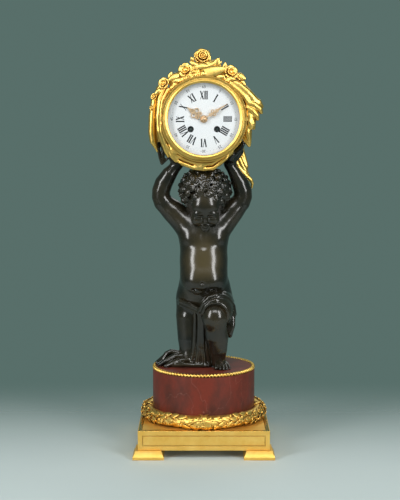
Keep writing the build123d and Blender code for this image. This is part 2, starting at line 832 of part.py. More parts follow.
with BuildPart() as back_ring:
    add(
        hinged_ring(
            [
                (back_ring_sight, back_ring_front),
                (back_ring_sight, case_back),
                (CASE_RADIUS, case_back),
                (CASE_RADIUS, back_ring_front),
                (spigot, back_ring_front),
                (spigot, back_ring_front - RING_SPIGOT),
                (spigot - CASE_WALL / 2, back_ring_front - RING_SPIGOT),
                (spigot - CASE_WALL / 2, back_ring_front),
            ],
            1,
            case_back,
            -1,
        )
    )
    for side in (-1, 1):
        add(
            bar(STRAP_SCREW + PASS_GAP, back_ring_front, case_back, side * strap_x),
            mode=Mode.SUBTRACT,
        )
        add(
            bar(
                STRAP_SCREW_HEAD + PASS_GAP,
                case_back - STRAP_SCREW_HEAD_HEIGHT,
                case_back,
                side * strap_x,
            ),
            mode=Mode.SUBTRACT,
        )
keep(back_ring.part, "back_ring")

# Straps and their screws: they draw the back ring to the dial plate and hold the movement in the case
screw_end = back_ring_front - STRAP_SCREW_BITE
with BuildPart() as movement_straps:
    for side in (-1, 1):
        add(
            slab(
                (side * strap_x - STRAP_SIDE / 2, side * strap_x + STRAP_SIDE / 2),
                (dial_plate_back, back_ring_front),
                (-STRAP_SIDE / 2, STRAP_SIDE / 2),
            )
        )
        add(
            bar(STRAP_SCREW + SEAT_GAP, screw_end - PASS_GAP, back_ring_front, side * strap_x),
            mode=Mode.SUBTRACT,
        )
    for side in (-1, 1):
        add(bar(STRAP_SCREW, screw_end, case_back, side * strap_x))
        add(bar(STRAP_SCREW_HEAD, case_back - STRAP_SCREW_HEAD_HEIGHT, case_back, side * strap_x))
keep(movement_straps.part, "movement_straps")

# Bezel: moulded gilt ring with a thumb piece, hinged at the left
glass_seat = bezel_back - GLASS_EDGE - PASS_GAP
bezel_front = bezel_back - BEZEL_HEIGHT
bezel_step = (bezel_radius - bezel_sight) / 6
with BuildPart() as front_bezel:
    add(
        turned(
            [
                (bezel_sight, glass_seat),
                (bezel_sight, glass_seat - 0.3 * BEZEL_HEIGHT),
                (bezel_sight + bezel_step, bezel_front + 0.1 * BEZEL_HEIGHT),
                (bezel_sight + 2 * bezel_step, bezel_front),
                (bezel_sight + 3 * bezel_step, bezel_front + 0.12 * BEZEL_HEIGHT),
                (bezel_sight + 3.5 * bezel_step, bezel_front + 0.35 * BEZEL_HEIGHT),
                (bezel_sight + 5 * bezel_step, bezel_front + 0.4 * BEZEL_HEIGHT),
                (bezel_radius, bezel_front + 0.65 * BEZEL_HEIGHT),
                (bezel_radius, bezel_back),
                (glass_radius + SEAT_GAP, bezel_back),
                (glass_radius + SEAT_GAP, glass_seat),
            ]
        )
    )
    add(knuckle(-hinge_x, ring_front, -knuckle_half, knuckle_half))
    add(
        slab(
            (-hinge_x, -bezel_radius + bezel_step),
            (ring_front - KNUCKLE_RADIUS, ring_front - PIN_RADIUS - 2 * RUN_GAP),
            (-knuckle_half, knuckle_half),
        )
    )
    add(
        slab(
            (bezel_radius - bezel_step, bezel_radius + 3 * bezel_step),
            (bezel_back - 0.3 * BEZEL_HEIGHT, bezel_back),
            (-knuckle_half, knuckle_half),
        )
    )
keep(front_bezel.part, "front_bezel")

# Glass: a low dome in the back of the bezel
dome_foot = bezel_sight - 2 * SEAT_GAP
dome_back = bezel_back - PASS_GAP / 2
dome_seat = glass_seat + SEAT_GAP
dome_radius = (dome_foot**2 + GLASS_RISE**2) / (2 * GLASS_RISE)
dome_sag = dome_radius - sqrt(dome_radius**2 - dome_foot**2 / 4)
with BuildPart() as bezel_glass:
    with BuildSketch(Plane(origin=(0, 0, axis_z), x_dir=(1, 0, 0), z_dir=(0, 0, 1))):
        with BuildLine():
            Polyline(
                (dome_foot, dome_back),
                (glass_radius, dome_back),
                (glass_radius, dome_seat),
                (dome_foot, dome_seat),
            )
            ThreePointArc(
                (dome_foot, dome_seat),
                (dome_foot / 2, dome_seat - GLASS_RISE + dome_sag),
                (0, dome_seat - GLASS_RISE),
            )
            Line((0, dome_seat - GLASS_RISE), (0, dome_back - GLASS_RISE))
            ThreePointArc(
                (0, dome_back - GLASS_RISE),
                (dome_foot / 2, dome_back - GLASS_RISE + dome_sag),
                (dome_foot, dome_back),
            )
        make_face()
    revolve(axis=Axis((0, 0, axis_z), (0, 1, 0)))
keep(bezel_glass.part, "bezel_glass")

# Back door: pierced brass disc hinged at the right
door_front = case_back + PASS_GAP
with BuildPart() as back_door:
    with BuildSketch(upright(door_front + DOOR_THICK)):
        Circle(door_radius)
        with PolarLocations(0.72 * door_radius, 14):
            Circle(DOOR_FRET, mode=Mode.SUBTRACT)
        with PolarLocations(0.42 * door_radius, 8):
            Circle(DOOR_FRET, mode=Mode.SUBTRACT)
        Circle(DOOR_FRET, mode=Mode.SUBTRACT)
    extrude(amount=DOOR_THICK)
    add(knuckle(hinge_x, case_back, -knuckle_half, knuckle_half))
    add(
        slab(
            (hinge_x, door_radius - 2 * KNUCKLE_RADIUS),
            (case_back + PIN_RADIUS + 2 * RUN_GAP, case_back + KNUCKLE_RADIUS),
            (-knuckle_half, knuckle_half),
        )
    )
keep(back_door.part, "back_door")


def hinge_pin(x, y):
    """Plain hinge pin with a small head above."""
    with BuildPart() as piece:
        with BuildSketch(Plane.XY.offset(axis_z - 3 * knuckle_half)):
            with Locations((x, y)):
                Circle(PIN_RADIUS)
        extrude(amount=6 * knuckle_half)
        with BuildSketch(Plane.XY.offset(axis_z + 3 * knuckle_half)):
            with Locations((x, y)):
                Circle(KNUCKLE_RADIUS)
        extrude(amount=PIN_RADIUS)
    return piece.part


with BuildPart() as hinge_pins:
    add(hinge_pin(-hinge_x, ring_front))
    add(hinge_pin(hinge_x, case_back))
keep(hinge_pins.part, "hinge_pins")


# Gilt drapery about the case: each fall of cloth is a group of folds, cut to the case and the hands
def around(angle, radius, depth, half_width, half_thick):
    """Station at an angle and radius about the clock axis."""
    turn = radians(angle)
    return (radius * cos(turn), depth, radius * sin(turn), half_width, half_thick)


def drape(folds, across, others):
    """Joins the folds of one fall of cloth and cuts away the case and the pieces beside it."""
    with BuildPart() as piece:
        for stations in folds:
            add(limb(stations, across, axis_z))
        add(case_room, mode=Mode.SUBTRACT)
        for other in others:
            add(other, mode=Mode.SUBTRACT)
    return piece.part


def pleated(fall, depth):
    """Fall of cloth and the pleats along it, from its angles, reaches off the case and half sizes."""
    folds = [[around(angle, CASE_RADIUS + reach, depth, wide, thick) for angle, reach, wide, thick in fall]]
    for lean in PLEAT_LEANS:
        folds.append(
            [
                around(
                    angle,
                    CASE_RADIUS + reach + PLEAT_STAND * thick,
                    depth + lean * wide,
                    PLEAT_WIDTH * wide,
                    PLEAT_RISE * thick,
                )
                for angle, reach, wide, thick in fall
            ]
        )
    return folds


drapery_left = drape(
    pleated(
        [
            (142, 12.5, 10, 6),
            (155.5, 12.5, 13, 7),
            (171.5, 9.7, 14, 7),
            (191.5, 12, 14, 7),
            (208.5, 16, 12, 6),
            (219, 19.8, 9, 4.5),
            (228.5, 28.7, 4, 2.4),
        ],
        -13,
    )
    + [
        [
            around(156, CASE_RADIUS + 2.5, -30, 8, 4.5),
            around(170, CASE_RADIUS + 3.5, -30, 9, 5),
            around(190, CASE_RADIUS + 3.5, -30, 9, 5),
            around(212, CASE_RADIUS + 3.5, -30, 9, 5),
            around(226, CASE_RADIUS + 3.5, -30, 8, 4.5),
            around(234, CASE_RADIUS + 3.5, -30, 6, 3),
        ],
    ],
    (0, 1, 0),
    [figure_right_arm],
)
keep(drapery_left, "drapery_left")

drapery_right = drape(
    [
        [
            around(46, CASE_RADIUS + 2.5, -26, 9, 4.5),
            around(37, CASE_RADIUS + 4, -26, 10, 5),
            around(26, CASE_RADIUS + 7, -24, 11, 6.5),
            around(14, CASE_RADIUS + 13, -22, 9, 8),
            around(8, CASE_RADIUS + 15, -22, 6, 5),
        ],
    ]
    + pleated(
        [(15.5, 15.2, 7, 6), (5, 9.8, 11, 8), (351.5, 6.3, 12, 7.5), (339, 7, 10, 6), (327.5, 11.5, 5, 3)],
        -20,
    ),
    (0, 1, 0),
    [figure_left_arm],
)
keep(drapery_right, "drapery_right")

drapery_swag = drape(
    [
        [
            around(236, CASE_RADIUS + 3.5, -31, 6, 3.5),
            around(248, CASE_RADIUS + 5, -31, 9, 5),
            around(262, CASE_RADIUS + 6, -31, 10, 5.5),
            around(278, CASE_RADIUS + 6, -31, 10, 5.5),
            around(296, CASE_RADIUS + 5, -31, 9, 5),
            around(314, CASE_RADIUS + 4, -30, 7, 4),
            around(326, CASE_RADIUS + 3, -30, 5, 2.6),
        ]
    ],
    (0, 1, 0),
    [drapery_left, drapery_right, figure_right_arm, figure_left_arm, figure_head.part],
)
keep(drapery_swag, "drapery_swag")

drapery_tail = drape(
    pleated(
        [(331, 2, 7, 4), (320, 6, 8, 4.5), (314.5, 27.5, 8, 4.5), (309, 45.8, 7, 4), (306, 60.7, 3, 2)],
        22,
    ),
    (0, 1, 0),
    [figure_left_arm],
)
keep(drapery_tail, "drapery_tail")


# Floral crest: a rose and lesser blooms, buds and leaves on a bed along the top of the case
def bloom(angle, reach, y, radius):
    """Five-petalled flower at an angle and reach off the case; it faces the viewer and a little upwards."""
    lean = radians(25)
    x = (CASE_RADIUS + reach) * cos(radians(angle))
    z = (CASE_RADIUS + reach) * sin(radians(angle))
    face = Plane(origin=(x, y, axis_z + z), x_dir=(1, 0, 0), z_dir=(0, -cos(lean), sin(lean)))
    with BuildPart() as piece:
        with BuildSketch(face):
            Circle(0.55 * radius)
            with PolarLocations(0.56 * radius, 5, start_angle=90):
                Circle(0.44 * radius)
        extrude(amount=0.2 * radius, both=True)
        with Locations((x, y, axis_z + z)):
            Sphere(0.36 * radius)
    return piece.part


rose_plane = Plane(
    origin=(-2, -22, axis_z + CASE_RADIUS + 25.5),
    x_dir=(1, 0, 0),
    z_dir=(0, -sin(radians(35)), -cos(radians(35))),
)
with BuildPart() as rose:
    with BuildSketch(rose_plane):
        with BuildLine():
            Polyline(
                (0, -9),
                (6, -8),
                (11, -3),
                (12.5, 4),
                (11, 4.5),
                (9.5, 0),
                (8, 1),
                (8.5, 6.5),
                (7, 7),
                (5.5, 2.5),
                (4.5, 3),
                (4.5, 8),
                (3, 8.3),
                (2, 5),
                (0, 5),
                close=True,
            )
        make_face()
    revolve(axis=Axis(rose_plane.origin, rose_plane.y_dir))

crest_bed = drape(
    [
        [
            around(150, CASE_RADIUS + 1.5, -24, 8, 3),
            around(134, CASE_RADIUS + 2.5, -24, 13, 4.5),
            around(110, CASE_RADIUS + 4, -24, 15, 6.5),
            around(88, CASE_RADIUS + 5, -24, 15, 7.5),
            around(64, CASE_RADIUS + 3.5, -24, 14, 6),
            around(54, CASE_RADIUS + 2, -24, 9, 3.5),
        ]
    ],
    (0, 1, 0),
    [],
)
with BuildPart() as floral_crest:
    add(crest_bed)
    for stations in (
        [
            around(92, CASE_RADIUS + 1.5, -22, 6, 5),
            around(91.6, CASE_RADIUS + 12.5, -21, 5, 4.5),
            around(91.4, CASE_RADIUS + 24.5, -21, 5, 4.5),
        ],
        [
            around(102, CASE_RADIUS + 8, -24, 3, 2.5),
            around(103, CASE_RADIUS + 17.4, -24, 3.5, 3),
            around(102.5, CASE_RADIUS + 23.5, -24, 4.6, 4.2),
            around(102, CASE_RADIUS + 28.4, -24, 2, 1.6),
        ],
        [
            around(76, CASE_RADIUS + 6.5, -24, 3, 2.5),
            around(74.5, CASE_RADIUS + 15.2, -24, 4, 3.6),
            around(75, CASE_RADIUS + 22.2, -24, 4, 3.6),
            around(75.6, CASE_RADIUS + 29.3, -24, 1.2, 1),
        ],
        [
            around(96.7, CASE_RADIUS + 9, -33, 5, 2.6),
            around(83.4, CASE_RADIUS + 10, -37, 7, 3.2),
            around(71.6, CASE_RADIUS + 10.1, -37, 7, 3.2),
            around(61.2, CASE_RADIUS + 9, -33, 3, 1.6),
        ],
        [
            around(55.3, CASE_RADIUS + 3.7, -28, 5, 3),
            around(49, CASE_RADIUS + 12.1, -32, 6, 2.8),
            around(40.2, CASE_RADIUS + 16.4, -33, 2, 1.2),
        ],
        [
            around(120.4, CASE_RADIUS + 7.7, -30, 4, 2.4),
            around(126.4, CASE_RADIUS + 11.3, -33, 6, 2.8),
            around(132.8, CASE_RADIUS + 14.1, -33, 2, 1.2),
        ],
    ):
        add(limb(stations, (0, 1, 0), axis_z))
    add(rose.part)
    add(bloom(110.7, 11, -34, 10.5))
    add(bloom(60, 14.4, -33, 10.5))
    add(bloom(137.8, 12, -33, 9))
keep(floral_crest.part, "floral_crest")

# Dial: enamel disc on a brass plate, which stands on three pillars before the movement
winding_places = [(-WINDING_X, -WINDING_DROP), (WINDING_X, -WINDING_DROP)]
hour_pipe = CANNON_PIPE + PIPE_STEP
pipe_hole = hour_pipe + PASS_GAP
with BuildPart() as enamel_dial:
    with BuildSketch(upright(dial_back)):
        Circle(dial_radius)
        Circle(pipe_hole, mode=Mode.SUBTRACT)
        with Locations(*winding_places):
            Circle(WINDING_HOLE, mode=Mode.SUBTRACT)
    extrude(amount=DIAL_THICK)
keep(enamel_dial.part, "enamel_dial")

with BuildPart() as dial_plate:
    with BuildSketch(upright(dial_plate_back)):
        Circle(dial_plate_radius)
        Circle(pipe_hole, mode=Mode.SUBTRACT)
        with Locations(*winding_places):
            Circle(WINDING_RADIUS + PASS_GAP, mode=Mode.SUBTRACT)
    extrude(amount=DIAL_PLATE_THICK)
    with BuildSketch(upright(front_plate_front)):
        with PolarLocations(0.9 * PLATE_RADIUS, 3, start_angle=90):
            Circle(PILLAR_RADIUS)
    extrude(amount=MOTION_ROOM)
keep(dial_plate.part, "dial_plate")

# Hands: pierced gilt hands at the photographed time, and the domed nut that holds them
hour_hand_back = DIAL_FACE - HAND_ROOM
hour_hand_front = hour_hand_back - HAND_THICK
minute_hand_back = hour_hand_front - HAND_ROOM
minute_hand_front = minute_hand_back - HAND_THICK


def scroll(x, reach, radius):
    """Ring of a pierced hand, set to one side of its stem at a distance from the centre."""
    with Locations((x, reach)):
        Circle(radius)
        Circle(radius - HAND_LINE, mode=Mode.SUBTRACT)


with BuildPart() as hour_hand:
    with BuildSketch(upright(hour_hand_back, clockwise=HOUR_ANGLE)):
        Circle(hour_pipe + HAND_BOSS)
        for side in (-1, 1):
            scroll(side * SCROLL_RADIUS, 0.3 * HOUR_LENGTH, 0.8 * SCROLL_RADIUS)
            scroll(side * 1.25 * SCROLL_RADIUS, 0.5 * HOUR_LENGTH, 1.15 * SCROLL_RADIUS)
        scroll(0, 0.68 * HOUR_LENGTH, SCROLL_RADIUS)
        with BuildLine():
            Polyline(
                (-0.7 * SCROLL_RADIUS, 0.72 * HOUR_LENGTH),
                (0.7 * SCROLL_RADIUS, 0.72 * HOUR_LENGTH),
                (0, HOUR_LENGTH),
                close=True,
            )
        make_face()
        with Locations((0, 0.4 * HOUR_LENGTH)):
            Rectangle(HAND_LINE, 0.7 * HOUR_LENGTH)
        Circle(hour_pipe + SEAT_GAP, mode=Mode.SUBTRACT)
    extrude(amount=HAND_THICK)
keep(hour_hand.part, "hour_hand")

with BuildPart() as minute_hand:
    with BuildSketch(upright(minute_hand_back, clockwise=MINUTE_ANGLE)):
        Circle(CANNON_PIPE + HAND_BOSS)
        for side in (-1, 1):
            scroll(side * 0.8 * SCROLL_RADIUS, 0.4 * MINUTE_LENGTH, 0.75 * SCROLL_RADIUS)
        scroll(0, 0.28 * MINUTE_LENGTH, 0.8 * SCROLL_RADIUS)
        scroll(0, 0.52 * MINUTE_LENGTH, 0.8 * SCROLL_RADIUS)
        with BuildLine():
            Polyline(
                (-0.5 * SCROLL_RADIUS, 0.56 * MINUTE_LENGTH),
                (0.5 * SCROLL_RADIUS, 0.56 * MINUTE_LENGTH),
                (0, MINUTE_LENGTH),
                close=True,
            )
        make_face()
        with Locations((0, 0.35 * MINUTE_LENGTH)):
            Rectangle(HAND_LINE, 0.6 * MINUTE_LENGTH)
        Circle(CANNON_PIPE + SEAT_GAP, mode=Mode.SUBTRACT)
    extrude(amount=HAND_THICK)
keep(minute_hand.part, "minute_hand")

nut_radius = CANNON_PIPE + 1.2
hand_nut = turned(
    [
        (CENTRE_PIN + RUN_GAP, minute_hand_front),
        (nut_radius, minute_hand_front),
        (0.9 * nut_radius, minute_hand_front - 0.4 * nut_radius),
        (0.55 * nut_radius, minute_hand_front - 0.7 * nut_radius),
        (CENTRE_PIN + RUN_GAP, minute_hand_front - 0.8 * nut_radius),
    ]
)
keep(hand_nut, "hand_nut")

# Movement plates and pillars: a round French movement; train places are from the clock axis
great_module = 2 * GREAT_RADIUS / GREAT_TEETH
second_pinion = great_module * SECOND_LEAVES / 2
great_reach = GREAT_RADIUS + second_pinion
going_at = (WINDING_X, -WINDING_DROP)
strike_at = (-WINDING_X, -WINDING_DROP)
second_at = (
    going_at[0] + great_reach * cos(radians(SECOND_TURN)),
    going_at[1] + great_reach * sin(radians(SECOND_TURN)),
)
second_module = 2 * hypot(*second_at) / (SECOND_TEETH + CENTRE_LEAVES)
centre_reach = CENTRE_MODULE * (CENTRE_TEETH + THIRD_LEAVES) / 2
third_reach = THIRD_MODULE * (THIRD_TEETH + ESCAPE_LEAVES) / 2
third_z = (centre_reach**2 - third_reach**2 + ESCAPE_RISE**2) / (2 * ESCAPE_RISE)
third_at = (-sqrt(centre_reach**2 - third_z**2), third_z)
escape_at = (0, ESCAPE_RISE)
anchor_at = (0, ANCHOR_RISE)
pin_wheel_at = (
    strike_at[0] + great_reach * cos(radians(STRIKE_TURN)),
    strike_at[1] + great_reach * sin(radians(STRIKE_TURN)),
)
fly_reach = STRIKE_MODULE * (STRIKE_TEETH + FLY_LEAVES) / 2
fly_at = (
    pin_wheel_at[0] + fly_reach * cos(radians(FLY_TURN)),
    pin_wheel_at[1] + fly_reach * sin(radians(FLY_TURN)),
)
hammer_at = (HAMMER_X, HAMMER_RISE)
minute_at = (0, CANNON_MODULE * (CANNON_LEAVES + MINUTE_TEETH) / 2)
pillar_places = [
    (-PILLAR_HIGH[0], PILLAR_HIGH[1]),
    PILLAR_HIGH,
    (-PILLAR_LOW[0], PILLAR_LOW[1]),
    PILLAR_LOW,
]
train_places = [second_at, third_at, escape_at, fly_at]
pivot_hole = PIVOT_RADIUS + RUN_GAP
stout_hole = STOUT_RADIUS + RUN_GAP
pillar_pivot = PILLAR_RADIUS - 1
stud_radius = 1
with BuildPart() as front_plate:
    with BuildSketch(upright(front_plate_back)):
        Circle(PLATE_RADIUS)
        with Locations(*train_places, anchor_at, pin_wheel_at):
            Circle(pivot_hole, mode=Mode.SUBTRACT)
        with Locations(going_at, strike_at):
            Circle(WINDING_RADIUS + RUN_GAP, mode=Mode.SUBTRACT)
        with Locations((0, 0)):
            Circle(stout_hole, mode=Mode.SUBTRACT)
        with Locations(*pillar_places):
            Circle(pillar_pivot + SEAT_GAP, mode=Mode.SUBTRACT)
    extrude(amount=PLATE_THICK)
    add(bar(stud_radius, dial_plate_back + 3 * PASS_GAP, front_plate_front, *minute_at))
keep(front_plate.part, "front_plate")

with BuildPart() as back_plate:
    with BuildSketch(upright(back_plate_back)):
        Circle(PLATE_RADIUS)
        with Locations(*train_places, (0, 0)):
            Circle(pivot_hole, mode=Mode.SUBTRACT)
        with Locations(anchor_at, pin_wheel_at, hammer_at):
            Circle(stout_hole, mode=Mode.SUBTRACT)
        with Locations(going_at, strike_at):
            Circle(WINDING_RADIUS + RUN_GAP, mode=Mode.SUBTRACT)
    extrude(amount=PLATE_THICK)
    with BuildSketch(upright(back_plate_front)):
        with Locations(*pillar_places):
            Circle(PILLAR_RADIUS)
    extrude(amount=PLATE_ROOM)
    with BuildSketch(upright(front_plate_back)):
        with Locations(*pillar_places):
            Circle(pillar_pivot)
    extrude(amount=PLATE_THICK)
keep(back_plate.part, "back_plate")


# Barrels and winding arbors: the key squares stand in the two dial holes
def facing(start, end):
    """Angle from one place to another, seen from the front."""
    return degrees(atan2(end[1] - start[1], end[0] - start[0]))


def gap_phase(start, end, teeth):
    """Phase that turns a gap of the wheel at start towards end."""
    return facing(start, end) + 180 / teeth


barrel_front = front_plate_back + 4 * WHEEL_THICK
barrel_back = barrel_front + BARREL_LENGTH
great_back = barrel_back + WHEEL_THICK


def barrel(place, mate):
    """Spring barrel with the great wheel at its back end, bored for the winding arbor."""
    with BuildPart() as piece:
        add(bar(BARREL_RADIUS, barrel_front, barrel_back, place[0], place[1]))
        add(
            toothed(
                GREAT_TEETH,
                GREAT_RADIUS,
                0.31,
                0.13,
                facing(place, mate),
                barrel_back,
                great_back,
                place[0],
                place[1],
            )
        )
        add(
            bar(WINDING_RADIUS + RUN_GAP, barrel_front, great_back, place[0], place[1]),
            mode=Mode.SUBTRACT,
        )
    return piece.part


def winding_arbor(place):
    """Barrel arbor that ends in a key square just inside the dial."""
    with BuildPart() as piece:
        add(bar(WINDING_RADIUS, front_plate_front - 2 * PASS_GAP, back_plate_back, place[0], place[1]))
        with BuildSketch(upright(front_plate_front, place[0], place[1])):
            Rectangle(SQUARE_SIDE, SQUARE_SIDE)
        extrude(amount=front_plate_front - DIAL_FACE - PASS_GAP)
    return piece.part


keep(barrel(going_at, second_at), "going_barrel")
keep(barrel(strike_at, pin_wheel_at), "strike_barrel")
keep(winding_arbor(going_at), "going_arbor")
keep(winding_arbor(strike_at), "strike_arbor")

# Going train: second, centre, third and escape wheels, each with its pinion and arbor
leaf_lead = (LEAF_LENGTH - WHEEL_THICK) / 2
second_front = front_plate_back + 1.5 * WHEEL_THICK
centre_front = great_back + 2 * WHEEL_THICK
third_front = (front_plate_back + back_plate_front) / 2 - 3 * WHEEL_THICK
escape_front = back_plate_front - 4 * WHEEL_THICK
shoulder_front = front_plate_back + PASS_GAP
shoulder_back = back_plate_front - PASS_GAP
with BuildPart() as second_wheel:
    add(arbor(shoulder_front, shoulder_back, *second_at))
    add(
        pinion(
            SECOND_LEAVES,
            second_pinion,
            gap_phase(second_at, going_at, SECOND_LEAVES),
            barrel_back - leaf_lead,
            *second_at,
        )
    )
    add(
        wheel(
            SECOND_TEETH,
            second_module * SECOND_TEETH / 2,
            facing(second_at, (0, 0)),
            second_front,
            *second_at,
        )
    )
keep(second_wheel.part, "second_wheel")

hand_tip = minute_hand_front - 0.8 * nut_radius
with BuildPart() as centre_wheel:
    add(
        turned(
            [
                (0, hand_tip),
                (CENTRE_PIN, hand_tip),
                (CENTRE_PIN, front_plate_front),
                (STOUT_RADIUS, front_plate_front),
                (STOUT_RADIUS, shoulder_back),
                (PIVOT_RADIUS, shoulder_back),
                (PIVOT_RADIUS, back_plate_back),
                (0, back_plate_back),
            ]
        )
    )
    add(
        pinion(
            CENTRE_LEAVES,
            second_module * CENTRE_LEAVES / 2,
            gap_phase((0, 0), second_at, CENTRE_LEAVES),
            second_front - leaf_lead,
            0,
            0,
        )
    )
    add(
        wheel(
            CENTRE_TEETH,
            CENTRE_MODULE * CENTRE_TEETH / 2,
            facing((0, 0), third_at),
            centre_front,
            0,
            0,
        )
    )
keep(centre_wheel.part, "centre_wheel")

with BuildPart() as third_wheel:
    add(arbor(shoulder_front, shoulder_back, *third_at))
    add(
        pinion(
            THIRD_LEAVES,
            CENTRE_MODULE * THIRD_LEAVES / 2,
            gap_phase(third_at, (0, 0), THIRD_LEAVES),
            centre_front - leaf_lead,
            *third_at,
        )
    )
    add(
        wheel(
            THIRD_TEETH,
            THIRD_MODULE * THIRD_TEETH / 2,
            facing(third_at, escape_at),
            third_front,
            *third_at,
        )
    )
keep(third_wheel.part, "third_wheel")

with BuildPart() as escape_wheel:
    add(arbor(shoulder_front, shoulder_back, *escape_at))
    add(
        pinion(
            ESCAPE_LEAVES,
            THIRD_MODULE * ESCAPE_LEAVES / 2,
            gap_phase(escape_at, third_at, ESCAPE_LEAVES),
            third_front - leaf_lead,
            *escape_at,
        )
    )
    escape_corners = []
    for tooth in range(ESCAPE_TEETH):
        for radius, turn in ((0.82 * ESCAPE_RADIUS, 0), (ESCAPE_RADIUS, 0.3), (ESCAPE_RADIUS, 0.4)):
            angle = 2 * pi * (tooth + turn) / ESCAPE_TEETH
            escape_corners.append((radius * cos(angle), radius * sin(angle)))
    with BuildSketch(upright(escape_front + WHEEL_THICK, *escape_at)):
        with BuildLine():
            Polyline(*escape_corners, close=True)
        make_face()
        with PolarLocations(0.48 * ESCAPE_RADIUS, 4):
            Circle(0.2 * ESCAPE_RADIUS, mode=Mode.SUBTRACT)
    extrude(amount=WHEEL_THICK)
keep(escape_wheel.part, "escape_wheel")

# Anchor with its crutch: two pallets astride the escape wheel, a fork behind that holds the pendulum rod
pendulum_y = back_plate_back + PENDULUM_STAND
crutch_back = pendulum_y - ROD_RADIUS - PASS_GAP
crutch_front = crutch_back - WHEEL_THICK
pallet_turn = radians(53)
pallet_x = (ESCAPE_RADIUS + PALLET_GAP) * cos(pallet_turn)
pallet_z = ESCAPE_RISE + (ESCAPE_RADIUS + PALLET_GAP) * sin(pallet_turn)
fork_half = ROD_RADIUS + SEAT_GAP
with BuildPart() as anchor:
    add(
        turned(
            [
                (0, front_plate_front),
                (PIVOT_RADIUS, front_plate_front),
                (PIVOT_RADIUS, shoulder_front),
                (STOUT_RADIUS, shoulder_front),
                (STOUT_RADIUS, crutch_back),
                (0, crutch_back),
            ],
            *anchor_at,
        )
    )
    with BuildSketch(upright(escape_front + WHEEL_THICK)):
        with BuildLine():
            Polyline(
                (0, ANCHOR_RISE + 1.6),
                (pallet_x + 1.6, pallet_z + 2.6),
                (pallet_x + 0.7, pallet_z + 0.5),
                (pallet_x, pallet_z),
                (0, ANCHOR_RISE - 1.6),
                (-pallet_x, pallet_z),
                (-pallet_x - 0.7, pallet_z + 0.5),
                (-pallet_x - 1.6, pallet_z + 2.6),
                close=True,
            )
        make_face()
    extrude(amount=WHEEL_THICK)
    add(slab((-1, 1), (crutch_front, crutch_back), (ANCHOR_RISE - CRUTCH_DROP, ANCHOR_RISE + 2)))
    for side in (-1, 1):
        add(
            slab(
                (side * fork_half, side * (fork_half + 1)),
                (crutch_front, pendulum_y + ROD_RADIUS),
                (ANCHOR_RISE - CRUTCH_DROP, ANCHOR_RISE - CRUTCH_DROP + 2),
            )
        )
    add(
        slab(
            (-fork_half - 1, fork_half + 1),
            (crutch_front, crutch_back),
            (ANCHOR_RISE - CRUTCH_DROP, ANCHOR_RISE - CRUTCH_DROP + 2),
        )
    )
keep(anchor.part, "anchor")

# Suspension: a cock on the back plate with a short spring, then the pendulum rod, bob and rating nut
cock_top = ANCHOR_RISE + 8
spring_half = 0.15
with BuildPart() as suspension_cock:
    add(
        slab(
            (-COCK_HALF, COCK_HALF),
            (back_plate_back, back_plate_back + PLATE_THICK),
            (ANCHOR_RISE - 5, cock_top),
        )
    )
    add(
        slab(
            (-COCK_HALF / 2, COCK_HALF / 2),
            (back_plate_back, pendulum_y + 2.5),
            (ANCHOR_RISE + 4, cock_top),
        )
    )
    add(
        bar(2 * STOUT_RADIUS, back_plate_back, back_plate_back + PLATE_THICK, *anchor_at),
        mode=Mode.SUBTRACT,
    )
    add(
        slab(
            (-COCK_HALF / 6, COCK_HALF / 6),
            (pendulum_y - spring_half, pendulum_y + spring_half),
            (ANCHOR_RISE + 2 * PASS_GAP, ANCHOR_RISE + 4),
        )
    )
keep(suspension_cock.part, "suspension_cock")

bob_z = ANCHOR_RISE - PENDULUM_LENGTH
rating_z = bob_z - BOB_RADIUS
rating_height = 2
with BuildPart() as pendulum_rod:
    with BuildSketch(Plane.XY.offset(axis_z + rating_z - 2 * rating_height)):
        with Locations((0, pendulum_y)):
            Circle(ROD_RADIUS)
    extrude(amount=ANCHOR_RISE - PASS_GAP - rating_z + 2 * rating_height)
    with BuildSketch(Plane.XY.offset(axis_z + rating_z - rating_height)):
        with Locations((0, pendulum_y)):
            Circle(3 * ROD_RADIUS)
    extrude(amount=rating_height - SEAT_GAP)
keep(pendulum_rod.part, "pendulum_rod")

with BuildPart() as pendulum_bob:
    add(
        turned(
            [
                (0, pendulum_y - BOB_THICK / 2),
                (0.6 * BOB_RADIUS, pendulum_y - 0.8 * BOB_THICK / 2),
                (BOB_RADIUS, pendulum_y - 0.2 * BOB_THICK / 2),
                (BOB_RADIUS, pendulum_y + 0.2 * BOB_THICK / 2),
                (0.6 * BOB_RADIUS, pendulum_y + 0.8 * BOB_THICK / 2),
                (0, pendulum_y + BOB_THICK / 2),
            ],
            0,
            bob_z,
        )
    )
    with BuildSketch(Plane.XY.offset(axis_z + bob_z - BOB_RADIUS)):
        with Locations((0, pendulum_y)):
            Circle(ROD_RADIUS + SEAT_GAP)
    extrude(amount=2 * BOB_RADIUS, mode=Mode.SUBTRACT)
keep(pendulum_bob.part, "pendulum_bob")

# Motion work under the dial: cannon pinion, minute wheel on its stud, hour wheel
cannon_front = front_plate_front - LEAF_LENGTH - 2 * PASS_GAP
hour_module = 2 * minute_at[1] / (MINUTE_LEAVES + HOUR_TEETH)
hour_front = dial_plate_back + 1.3 * WHEEL_THICK
minute_front = cannon_front + leaf_lead
with BuildPart() as cannon_pinion:
    add(
        pinion(
            CANNON_LEAVES,
            CANNON_MODULE * CANNON_LEAVES / 2,
            facing((0, 0), minute_at),
            cannon_front,
            0,
            0,
        )
    )
    add(bar(CANNON_PIPE, minute_hand_front, cannon_front + LEAF_LENGTH))
    add(bar(CENTRE_PIN + RUN_GAP, minute_hand_front, cannon_front + LEAF_LENGTH), mode=Mode.SUBTRACT)
keep(cannon_pinion.part, "cannon_pinion")

